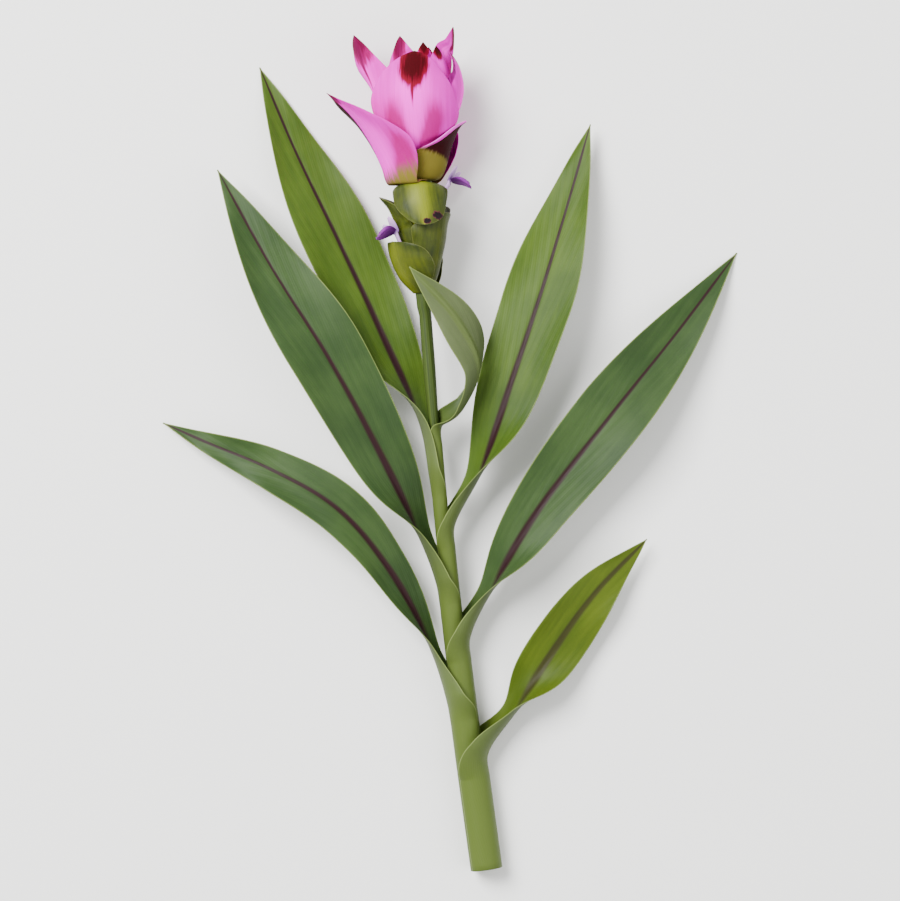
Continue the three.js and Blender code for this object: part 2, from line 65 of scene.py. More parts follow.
def ease(start: float, end: float, value: np.ndarray) -> np.ndarray:
    """0 below start, 1 above end and a smooth cubic step between them."""
    t = np.clip((np.asarray(value, float) - start) / (end - start), 0.0, 1.0)
    return t * t * (3.0 - 2.0 * t)


def mix(a: np.ndarray, b: np.ndarray, share: np.ndarray) -> np.ndarray:
    """The value that lies share of the way from a to b."""
    return a + (b - a) * share


def unit(vectors: np.ndarray) -> np.ndarray:
    """Vectors of length 1 along the last axis of an array."""
    return vectors / np.maximum(np.linalg.norm(vectors, axis=-1, keepdims=True), 1e-9)


def smooth_min(a: np.ndarray, b: np.ndarray, blend: float) -> np.ndarray:
    """The smaller of two lengths, with the corner between them rounded over the blend."""
    near = np.maximum(blend - np.abs(a - b), 0.0) / blend
    return np.minimum(a, b) - near * near * blend * 0.25


def turn(start: np.ndarray, end: np.ndarray) -> np.ndarray:
    """The turn from one azimuth to another, from -180 to 180 degrees."""
    return (end - start + 180.0) % 360.0 - 180.0


def linear(code: str) -> tuple[float, float, float, float]:
    """Turns an sRGB hex colour such as "e86fd0" to linear red, green, blue and alpha."""
    parts = [int(code[i : i + 2], 16) / 255.0 for i in (0, 2, 4)]
    light = [c / 12.92 if c <= 0.04045 else ((c + 0.055) / 1.055) ** 2.4 for c in parts]
    return (light[0], light[1], light[2], 1.0)


class Curve:
    """A smooth curve through points, read by its share of the length."""

    SAMPLES = 60
    NEAR = 0.004

    def __init__(self, points: list, centripetal: bool) -> None:
        """Samples the curve and its length.

        Each stretch between two points is a cubic whose slopes at its ends follow the points
        before and after it: a Catmull-Rom curve, with knots spaced by the square root of the
        distance if it is centripetal.

        Args:
            points: The points that the curve goes through.
            centripetal: Whether the knots are spaced by the points' distances.
        """
        p = np.asarray(points, float)
        if centripetal:
            first, last = 2 * p[0] - p[1], 2 * p[-1] - p[-2]
        else:
            first, last = p[0], p[-1]
        p = np.vstack([first, p, last])
        power = 0.5 if centripetal else 0.0
        knot = np.maximum(np.linalg.norm(np.diff(p, axis=0), axis=1), 1e-9) ** power
        t = np.linspace(0.0, 1.0, self.SAMPLES, endpoint=False)[:, None]
        pieces = []
        for i in range(1, len(p) - 2):
            d0, d1, d2 = knot[i - 1], knot[i], knot[i + 1]
            before, here, there, after = p[i - 1 : i + 3]
            leave = ((here - before) / d0 - (there - before) / (d0 + d1) + (there - here) / d1) * d1
            reach = ((there - here) / d1 - (after - here) / (d1 + d2) + (after - there) / d2) * d1
            cubic = 2 * here - 2 * there + leave + reach
            square = -3 * here + 3 * there - 2 * leave - reach
            pieces.append(cubic * t**3 + square * t**2 + leave * t + here)
        self.points = np.vstack([*pieces, p[-2]])
        steps = np.linalg.norm(np.diff(self.points, axis=0), axis=1)
        self.distance = np.concatenate([[0.0], np.cumsum(steps)])
        self.length = float(self.distance[-1])

    def at(self, share: np.ndarray) -> np.ndarray:
        """The points at shares of the length, as an array with one more axis."""
        where = np.asarray(share) * self.length
        parts = [np.interp(where, self.distance, column) for column in self.points.T]
        return np.stack(parts, axis=-1)

    def tangent(self, share: np.ndarray) -> np.ndarray:
        """Unit directions of the curve at shares of its length."""
        low, high = np.clip(share - self.NEAR, 0, 1), np.clip(share + self.NEAR, 0, 1)
        return unit(self.at(high) - self.at(low))


# The stem's axis and the bloom's


@dataclass(frozen=True)
class Stem:
    """The path of the stalk from its cut end to the foot of the bloom."""

    cut_y: float = -222.0
    cut_x: float = 20.0
    bow: float = 3.0
    flat_share: float = 0.09
    foot: tuple[float, float, float] = (-12.0, 75.0, 27.0)
    radius: float = 2.6
    inner_sheath: float = 3.17
    sheath_pitch: float = 0.88
    sheath_count: int = 7
    cut_height: float = 8.331
    near: float = 0.5

    def axis(self, y: np.ndarray) -> np.ndarray:
        """Middle of the stalk at places along Y: bowed sideways by half a sine, lifted by a step."""
        y = np.asarray(y, float)
        q = (y - self.cut_y) / (self.foot[1] - self.cut_y)
        x = mix(self.cut_x, self.foot[0], q) - self.bow * np.sin(math.pi * q)
        z = mix(self.cut_height, self.foot[2], ease(self.flat_share, 1.0, q))
        return np.stack([x, y, z], axis=-1)

    def directions(self, y: np.ndarray) -> tuple[np.ndarray, np.ndarray, np.ndarray]:
        """Unit vectors along the stalk, to its right and up from it."""
        forward = unit(self.axis(np.asarray(y) + self.near) - self.axis(np.asarray(y) - self.near))
        right = unit(np.cross(forward, UP))
        return forward, right, np.cross(right, forward)

    def sheath_radius(self, index: int) -> float:
        """Radius of the middle of the wall of the sheath of leaf number index, from the outside."""
        return self.inner_sheath + self.sheath_pitch * (self.sheath_count - 1 - index)


@dataclass(frozen=True)
class BloomAxis:
    """The axis that carries the bracts, level above the table."""

    lean: float = -0.02
    heights: tuple[float, ...] = (-12.0, 2.0, 14.0, 50.0, 60.0, 80.0)
    radii: tuple[float, ...] = (3.1, 4.4, 5.6, 5.8, 5.2, 2.4)
    seat_gap: float = 0.8

    def forward(self) -> np.ndarray:
        """Unit vector along the bloom."""
        return unit(np.array([self.lean, 1.0, 0.0]))

    def point(self, height: np.ndarray, radius: np.ndarray, azimuth: np.ndarray) -> np.ndarray:
        """Points at heights, radii and azimuths round the bloom's axis."""
        forward = self.forward()
        right = unit(np.cross(forward, UP))
        angle = np.radians(azimuth)
        foot = np.asarray(STEM.foot)
        return (
            foot
            + np.asarray(height)[..., None] * forward
            + (radius * np.sin(angle))[..., None] * right
            + (radius * np.cos(angle))[..., None] * UP
        )

    def rachis_radius(self, height: np.ndarray) -> np.ndarray:
        """Radius of the stalk inside the bloom, a broken line along its height."""
        return np.interp(height, self.heights, self.radii)

    def seat(self, height: float) -> float:
        """Radius at which a bract sits on it."""
        return float(self.rachis_radius(height)) + self.seat_gap


STEM = Stem()
BLOOM = BloomAxis()


# Meshes


@dataclass
class Shell:
    """A closed mesh in millimetres, with values per vertex that its finish reads."""

    vertices: np.ndarray
    faces: list[np.ndarray]
    values: dict[str, np.ndarray]

    def joined(self, other: "Shell") -> "Shell":
        """This shell and another one as one mesh."""
        shift = len(self.vertices)
        values = {key: np.concatenate([self.values[key], other.values[key]]) for key in self.values}
        faces = [*self.faces, *[part + shift for part in other.faces]]
        return Shell(np.vstack([self.vertices, other.vertices]), faces, values)


def sheet_shell(
    points: np.ndarray, inner: np.ndarray, outer: np.ndarray, values: dict[str, np.ndarray]
) -> Shell:
    """Gives a grid of points a wall on both sides and a rounded rim.

    The wall is measured along the cross product of the two directions of the grid, and the rim's
    middle stands out of the sheet by a share of the wall.

    Args:
        points: Grid of points, rows by columns by 3.
        inner: Wall on the side that the cross product points to.
        outer: Wall on the other side.
        values: A value for each point of the grid, by name.

    Returns:
        The closed shell, with the value "side": 0 on the inner face and 1 on the outer one.
    """
    rows, columns = points.shape[:2]
    last, end = rows - 1, columns - 1
    down, across = np.gradient(points, axis=0), np.gradient(points, axis=1)
    normal = unit(np.cross(down, across))
    row = [np.zeros(columns), np.arange(1, rows), np.full(end, last), np.arange(last - 1, 0, -1)]
    column = [np.arange(columns), np.full(last, end), np.arange(end - 1, -1, -1), np.zeros(last - 1)]
    row, column = np.concatenate(row).astype(int), np.concatenate(column).astype(int)
    outward = (
        unit(down[row, column]) * ((row == last) * 1.0 - (row == 0) * 1.0)[:, None]
        + unit(across[row, column]) * ((column == end) * 1.0 - (column == 0) * 1.0)[:, None]
    )
    wall = (inner + outer)[row, column]
    middle = points + normal * ((inner - outer) / 2)[..., None]
    rim = middle[row, column] + unit(outward) * (RIM_ROUNDNESS * wall)[:, None]
    faces = [points + normal * inner[..., None], points - normal * outer[..., None]]
    vertices = np.vstack([*[face.reshape(-1, 3) for face in faces], rim])
    count = rows * columns
    grid = np.arange(count).reshape(rows, columns)
    a, b, c, d = grid[:-1, :-1], grid[1:, :-1], grid[1:, 1:], grid[:-1, 1:]
    inner_faces = np.stack([a, b, c, d], axis=-1).reshape(-1, 4)
    outer_faces = inner_faces[:, ::-1] + count
    loops = [grid[row, column], 2 * count + np.arange(len(row)), grid[row, column] + count]
    rim_faces = np.vstack(
        [np.stack([a, np.roll(a, -1), np.roll(b, -1), b], axis=-1) for a, b in zip(loops, loops[1:])]
    )
    side = np.concatenate([np.zeros(count), np.ones(count), np.full(len(row), 0.5)])
    spread = {
        key: np.concatenate([value.reshape(-1), value.reshape(-1), value[row, column]])
        for key, value in values.items()
    }
    return Shell(vertices, [inner_faces, outer_faces, rim_faces], {**spread, "side": side})


def tube_shell(rings: np.ndarray, values: dict[str, np.ndarray]) -> Shell:
    """Closes a stack of rings, rows by points round by 3, with a fan at each end.

    Args:
        rings: The rings' points, in one turning direction.
        values: A value for each point of the rings, by name.

    Returns:
        The closed shell, with the value "side": 0 on the ends and 1 on the wall.
    """
    rows, count = rings.shape[:2]
    grid = np.arange(rows * count).reshape(rows, count)
    following = np.roll(grid, -1, axis=1)
    walls = np.stack([grid[:-1], following[:-1], following[1:], grid[1:]], axis=-1).reshape(-1, 4)
    ends = rings[[0, -1]]
    centres = ends.mean(axis=1)
    first = rows * count
    caps = first + np.arange(2 * count).reshape(2, count)
    middle = first + 2 * count + np.arange(2)
    after = np.roll(caps, -1, axis=1)
    foot_fan = np.stack([np.full(count, middle[0]), after[0], caps[0]], axis=-1)
    head_fan = np.stack([np.full(count, middle[1]), caps[1], after[1]], axis=-1)
    vertices = np.vstack([rings.reshape(-1, 3), ends.reshape(-1, 3), centres])
    side = np.concatenate([np.ones(first), np.zeros(2 * count + 2)])
    spread = {
        key: np.concatenate([value.reshape(-1), value[[0, -1]].reshape(-1), value[[0, -1], 0]])
        for key, value in values.items()
    }
    return Shell(vertices, [walls, foot_fan, head_fan], {**spread, "side": side})


def add_object(name: str, data: bpy.types.ID) -> bpy.types.Object:
    """Puts a mesh, a lamp or a camera into the scene."""
    thing = bpy.data.objects.new(name, data)
    bpy.context.scene.collection.objects.link(thing)
    return thing


def make_piece(
    name: str, shell: Shell, material: bpy.types.Material, node: str
) -> bpy.types.Object:
    """Makes an object of a shell, rides it on the stem and lets it stand for its solid.

    Args:
        name: The piece's name.
        shell: Its mesh in millimetres.
        material: Its finish.
        node: The solid that it stands for.

    Returns:
        The new object.
    """
    mesh = bpy.data.meshes.new(name)
    faces = [face for part in shell.faces for face in part.tolist()]
    mesh.from_pydata(((shell.vertices - CENTRE) * MM).tolist(), [], faces)
    for key, value in shell.values.items():
        layer = mesh.attributes.new(key, "FLOAT", "POINT")
        layer.data.foreach_set("value", value.astype(np.float32))
    mesh.shade_smooth()
    mesh.materials.append(material)
    mesh.update()
    piece = add_object(name, mesh)
    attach(piece, "root")
    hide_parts(node)
    log.info("%s: %d faces", name, len(faces))
    return piece


# Finishes


class Value:
    """A number or a colour in a material's node tree, which can be calculated with."""

    def __init__(self, paint: "Paint", socket: bpy.types.NodeSocket) -> None:
        """Holds the output that gives the value."""
        self.paint = paint
        self.socket = socket

    def calculate(self, operation: str, *others: "Value | float") -> "Value":
        """The result of an arithmetic operation on this value and others."""
        return self.paint.output("ShaderNodeMath", dict(enumerate([self, *others])), operation=operation)

    def __add__(self, other: "Value | float") -> "Value":
        """The sum of two values."""
        return self.calculate("ADD", other)

    def __sub__(self, other: "Value | float") -> "Value":
        """The difference of two values."""
        return self.calculate("SUBTRACT", other)

    def __mul__(self, other: "Value | float") -> "Value":
        """The product of two values."""
        return self.calculate("MULTIPLY", other)

    def step(self, low: float, high: float) -> "Value":
        """A smooth step from 0 where this value is low to 1 where it is high; low may be the larger."""
        inputs = {"Value": self, "From Min": low, "From Max": high, "To Min": 0.0, "To Max": 1.0}
        return self.paint.output("ShaderNodeMapRange", inputs, "Result", interpolation_type="SMOOTHSTEP")


@dataclass(frozen=True)
class Streak:
    """Noise drawn out along a blade: width and length of a streak in millimetres, and its detail."""

    width: float
    length: float
    detail: float = 2.0


@dataclass(frozen=True)
class Skin:
    """What a surface does with light.

    Attributes:
        relief: Depth of its relief in millimetres.
        roughness: Its roughness.
        subsurface: Share of the light that goes through it.
        bleed: How far red, green and blue light spread in it, relative to each other.
        shine: Strength of its mirror part, 0.5 for a clean polished skin.
        index: Its index of refraction.
        depth: How far light spreads in it, in millimetres.
    """

    relief: float
    roughness: float
    subsurface: float
    bleed: tuple[float, float, float]
    shine: float = 0.2
    index: float = 1.42
    depth: float = 1.2


class Paint:
    """A material, built up from the values that a mesh holds for each vertex."""

    def __init__(self, name: str) -> None:
        """Starts an empty node material with that name."""
        self.material = bpy.data.materials.new(name)
        self.material.use_nodes = True
        self.tree = self.material.node_tree
        self.tree.nodes.clear()

    def add_node(self, kind: str, inputs: dict | None = None, **settings) -> bpy.types.Node:
        """Adds a shader node.

        Args:
            kind: The node's type.
            inputs: A number, a colour or a value of this paint for each input, by name or number.
            **settings: The node's own properties.

        Returns:
            The new node.
        """
        node = self.tree.nodes.new(kind)
        for key, value in settings.items():
            setattr(node, key, value)
        for key, value in (inputs or {}).items():
            if isinstance(value, Value):
                self.tree.links.new(value.socket, node.inputs[key])
            else:
                node.inputs[key].default_value = value
        return node

    def output(self, kind: str, inputs: dict | None = None, key: int | str = 0, **settings) -> Value:
        """Adds a shader node and gives its output of that name or number."""
        return Value(self, self.add_node(kind, inputs, **settings).outputs[key])

    def read(self, *names: str) -> list[Value]:
        """The values of those names which the mesh holds for each vertex."""
        settings = {"kind": "ShaderNodeAttribute", "key": "Fac", "attribute_type": "GEOMETRY"}
        return [self.output(attribute_name=name, **settings) for name in names]

    def noise(self, place: Value, scale: float, detail: float) -> Value:
        """Soft noise, from 0 to 1 round a mean of a half."""
        return self.output("ShaderNodeTexNoise", {"Vector": place, "Scale": scale, "Detail": detail})

    def streaks(self, across: Value, along: Value, streak: Streak) -> Value:
        """Noise drawn out along a blade, from millimetres across and along it."""
        x, y = across.calculate("DIVIDE", streak.width), along.calculate("DIVIDE", streak.length)
        return self.noise(self.output("ShaderNodeCombineXYZ", {"X": x, "Y": y}), 1.0, streak.detail)

    def mottling(self, size: float, detail: float = 3.0) -> Value:
        """Noise in space whose patches are that many millimetres wide."""
        return self.noise(self.output("ShaderNodeTexCoord", None, "Object"), 1.0 / (size * MM), detail)

    def blend(self, share: Value, first: Value | str, second: Value | str) -> Value:
        """The colour that lies share of the way from one colour to another, each a value or a hex code."""
        a, b = [linear(colour) if isinstance(colour, str) else colour for colour in (first, second)]
        return self.output("ShaderNodeMix", {0: share, 6: a, 7: b}, 2, data_type="RGBA")

    def lay(
        self,
        ground: Value | str,
        code: str,
        value: Value,
        low: float,
        high: float,
        strength: Value | float = 1.0,
    ) -> Value:
        """Lays a colour on another one, over a smooth step of a value.

        Args:
            ground: The colour below, a value or a hex code.
            code: The hex code of the colour laid on it.
            value: What says where it lies.
            low: The value where it starts.
            high: The value where it is full.
            strength: Share of the ground that it then hides.

        Returns:
            The colour with the new one on it.
        """
        return self.blend(value.step(low, high) * strength, ground, code)

    def finish(self, colour: Value, height: Value, skin: Skin) -> bpy.types.Material:
        """Ends the material in one principled shader with a bump.

        Args:
            colour: Its colour.
            height: Its relief, from 0 to 1.
            skin: What its surface does with light.

        Returns:
            The material.
        """
        bump = {"Height": height, "Distance": skin.relief * MM, "Strength": 1.0}
        surface = {
            "Base Color": colour,
            "Normal": self.output("ShaderNodeBump", bump),
            "Roughness": skin.roughness,
            "IOR": skin.index,
            "Specular IOR Level": skin.shine,
            "Subsurface Weight": skin.subsurface,
            "Subsurface Radius": skin.bleed,
            "Subsurface Scale": skin.depth * MM,
        }
        return self.end(surface)

    def end(self, surface: dict) -> bpy.types.Material:
        """Ends the material in a principled shader with those inputs."""
        shader = self.output("ShaderNodeBsdfPrincipled", surface)
        self.add_node("ShaderNodeOutputMaterial", {"Surface": shader})
        return self.material


@dataclass(frozen=True)
class LeafBlade:
    """Living leaf: a waxed upper face with a plum midrib band, a dull grey-green back, a pale edge."""

    name: str
    upper: str
    upper_light: str
    back: str = "424c2f"
    back_light: str = "4f5a39"
    sheath: str = "4c5c22"
    midrib: str = "241114"
    edge: str = "6f7d44"
    band: float = 1.0
    vein_gap: float = 1.2
    vein_angle: float = 9.0
    patch: float = 34.0
    drift: Streak = Streak(2.6, 60.0)
    wander: Streak = Streak(6.0, 24.0)
    fine: Streak = Streak(0.4, 30.0, 1.0)
    skin: Skin = Skin(0.03, 0.48, 0.04, (0.5, 1.0, 0.25), shine=0.14)

    def material(self) -> bpy.types.Material:
        """Veins leave the midrib at a low angle; tone drifts in long streaks and wide patches."""
        paint = Paint(self.name)
        across, along, side = paint.read("across", "along", "side")
        sheath, edge, rib = paint.read("sheath", "edge", "rib")
        drift = paint.streaks(across, along, self.drift)
        tone = paint.mottling(self.patch) * 0.7 + 0.03 + drift * 0.3
        upper = paint.lay(self.upper, self.upper_light, tone, 0.3, 0.8)
        back = paint.lay(self.back, self.back_light, tone, 0.3, 0.8)

        lean = math.radians(self.vein_angle)
        phase = across.calculate("ABSOLUTE") * math.cos(lean) - along * math.sin(lean)
        wander = paint.streaks(across, along, self.wander) * 0.8
        ridge = ((phase + wander) * (2 * math.pi / self.vein_gap)).calculate("SINE")
        upper = paint.lay(upper, self.upper_light, ridge, 0.55, 1.0, 0.07)
        back = paint.lay(back, self.sheath, ridge, 0.55, 1.0, 0.1)

        plum = rib + drift * 0.5
        upper = paint.lay(upper, self.midrib, plum, 0.55, 1.15, self.band)
        back = paint.lay(back, self.sheath, plum, 0.55, 1.15, 0.35)
        colour = paint.blend(side.step(0.2, 0.8), upper, back)
        colour = paint.blend(sheath * 0.85, colour, self.sheath)
        colour = paint.lay(colour, self.edge, edge, 0.55, 0.15, 0.75)
        height = ridge * 0.28 + paint.streaks(phase, along, self.fine)
        return paint.finish(colour, height, self.skin)


@dataclass(frozen=True)
class PinkBract:
    """Waxy pink bract: fine lengthwise veins, a dark crimson tip, a yellow-green foot."""

    light: str = "fb1cd8"
    pink: str = "cc08ac"
    deep: str = "96045c"
    crimson: str = "740a24"
    dark: str = "3a060c"
    maroon: str = "2c090d"
    green: str = "6a6024"
    pale: str = "fb6cea"
    coarse: Streak = Streak(2.4, 46.0)
    flames: Streak = Streak(1.2, 11.0, 3.0)
    fine: Streak = Streak(0.5, 34.0, 1.0)
    wide: Streak = Streak(7.0, 50.0)
    skin: Skin = Skin(0.1, 0.6, 0.1, (1.0, 0.35, 0.6), shine=0.04)

    def material(self) -> bpy.types.Material:
        """The mesh holds how far each marking reaches, and streaky noise feathers its edge."""
        paint = Paint("waxy pink bract")
        across, along, side, glow, flush = paint.read("across", "along", "side", "glow", "flush")
        pallor, foot, dusk, blotch, ripe = paint.read("pallor", "foot", "dusk", "blotch", "ripe")
        kinds = (self.coarse, self.flames, self.fine, self.wide)
        coarse, flames, fine, wide = [paint.streaks(across, along, kind) for kind in kinds]

        colour = paint.lay(self.pink, self.light, glow + coarse * 0.5, 0.1, 0.75)
        colour = paint.lay(colour, self.pink, fine, 0.5, 0.7, 0.3)
        colour = paint.lay(colour, self.deep, flush + wide * 0.5 + flames * 0.35, 0.45, 1.35, 0.85)
        colour = paint.blend(pallor * 0.8, colour, self.pale)
        colour = paint.lay(colour, self.green, foot + flames * 0.9, 0.65, 1.35)
        colour = paint.lay(colour, self.maroon, dusk + flames * 0.6, 0.6, 1.2, side.step(0.2, 0.8))

        blotch = blotch + (flames - 0.5) * 1.1
        colour = paint.lay(colour, self.deep, blotch, -0.35, 0.1, 0.55)
        colour = paint.lay(colour, self.crimson, blotch, -0.05, 0.22, ripe)
        colour = paint.lay(colour, self.dark, blotch + fine * 0.25, 0.3, 0.9, ripe)
        colour = paint.lay(colour, self.deep, side, 0.8, 0.2, 0.18)
        return paint.finish(colour, coarse * 0.7 + fine, self.skin)


@dataclass(frozen=True)
class GreenBract:
    """Waxy green pouch bract: lighter in the middle as a painted highlight, darker on its sides as painted
    shade, with a pale withering rim.
    """

    # The three greens give both the bract's own streaky tone and its painted light: the lightest is the
    # painted highlight, dark the painted shade on the sides.
    yellow_green_and_highlight: str = "6a7210"
    mid: str = "464e10"
    dark: str = "212b0f"
    rim: str = "6c703a"
    withered: str = "12040a"
    rosy: str = "5c1830"
    coarse: Streak = Streak(2.0, 26.0, 3.0)
    fine: Streak = Streak(0.5, 16.0, 1.0)
    patch: float = 9.0
    fray: float = 1.6
    skin: Skin = Skin(0.16, 0.44, 0.1, (0.6, 1.0, 0.2))

    def material(self) -> bpy.types.Material:
        """Fine lengthwise streaks of three greens, a painted highlight down the middle with painted shade on
        the sides, a pale rim line and withered spots.
        """
        paint = Paint("waxy green bract")
        across, along, glow, edge, spot = paint.read("across", "along", "glow", "edge", "spot")
        coarse = paint.streaks(across, along, self.coarse)
        fine = paint.streaks(across, along, self.fine)
        # glow is painted light: it lifts the middle to the highlight green and leaves the sides dark as
        # painted shade; the streaks and patches are the bract's own tone.
        tone = glow + coarse * 0.45 + paint.mottling(self.patch) * 0.55
        colour = paint.lay(self.dark, self.mid, tone, 0.25, 0.8)
        colour = paint.lay(colour, self.yellow_green_and_highlight, tone, 0.6, 1.5)
        colour = paint.lay(colour, self.rim, edge, 0.5, 0.1, 0.42)
        spot = spot + paint.mottling(self.fray) * 0.9
        colour = paint.lay(colour, self.rosy, spot, 0.42, 0.6)
        colour = paint.lay(colour, self.withered, spot, 0.5, 0.66)
        return paint.finish(colour, coarse * 0.8 + fine, self.skin)


@dataclass(frozen=True)
class StalkSkin:
    """Flower stalk: smooth green skin with fine ribs, and a pale wet cut with darker strands."""

    skin_green: str = "2a3815"
    light: str = "415020"
    cut: str = "848c58"
    rib: Streak = Streak(0.8, 60.0)
    strand: float = 0.9
    skin: Skin = Skin(0.12, 0.45, 0.06, (0.5, 1.0, 0.25))

    def material(self) -> bpy.types.Material:
        """Ribs run lengthwise on the wall, and strands dot the ends."""
        paint = Paint("flower stalk skin")
        across, along, side = paint.read("across", "along", "side")
        ribs = paint.streaks(across, along, self.rib)
        wall = paint.lay(self.skin_green, self.light, ribs, 0.3, 0.7)
        cut = paint.lay(self.cut, self.light, paint.mottling(self.strand, 1.0), 0.5, 0.75)
        return paint.finish(paint.blend(side, cut, wall), ribs, self.skin)


@dataclass(frozen=True)
class Petal:
    """Thin floret petal: soft, fine-veined, darker towards its throat."""

    name: str
    light: str
    deep: str
    vein: str
    veins: Streak = Streak(0.45, 7.0, 1.0)
    skin: Skin = Skin(0.06, 0.5, 0.12, (1.0, 0.6, 1.0), shine=0.1)

    def material(self) -> bpy.types.Material:
        """Fine veins fan out from the throat."""
        paint = Paint(self.name)
        across, along, glow = paint.read("across", "along", "glow")
        veins = paint.streaks(across, along, self.veins)
        colour = paint.lay(self.deep, self.light, glow, 0.0, 0.8)
        colour = paint.lay(colour, self.vein, veins, 0.55, 0.75)
        return paint.finish(colour, veins, self.skin)


# Stalk


@dataclass(frozen=True)
class FlowerStalk:
    """The stalk from the cut to the top of the axis inside the bloom."""

    sides: int = 48
    step: float = 3.0
    top: float = 80.0
    rib_depth: float = 0.05
    ribs: int = 16
    neck_radius: float = 3.1
    neck: tuple[float, float] = (10.0, 40.0)
    stalk_end: float = -10.0
    rachis_start: float = -8.0

    def build(self) -> bpy.types.Object:
        """Rings of a ribbed circle, whose radius is the stalk's, square to its path."""
        around = np.arange(self.sides) * 360.0 / self.sides
        angle = np.radians(around)
        rib = 1.0 + self.rib_depth * np.cos(self.ribs * angle)
        y = np.arange(STEM.cut_y, STEM.foot[1] + self.stalk_end, self.step)
        _, right, up = STEM.directions(y)
        radius = mix(STEM.radius, self.neck_radius, ease(*self.neck, y))[:, None] * (1 + (rib - 1) / 2)
        spokes = np.sin(angle)[:, None] * right[:, None] + np.cos(angle)[:, None] * up[:, None]
        lower = STEM.axis(y)[:, None] + radius[..., None] * spokes
        height = np.concatenate([np.arange(self.rachis_start, self.top, self.step), [self.top]])
        inside = BLOOM.rachis_radius(height)[:, None] * np.ones(self.sides)
        upper = BLOOM.point(np.repeat(height[:, None], self.sides, 1), inside, around[None])
        rings = np.concatenate([lower, upper])
        along = np.concatenate([y, STEM.foot[1] + height])
        across = np.tile(angle * STEM.radius, (len(rings), 1))
        shell = tube_shell(rings, {"across": across, "along": np.repeat(along[:, None], self.sides, 1)})
        return make_piece("stalk", shell, StalkSkin().material(), "flower_stalk")


# Leaves


class Rank(Enum):
    """The two ranks that leaves stand in, by the sign of X that they lean to."""

    LEFT = -1
    RIGHT = 1


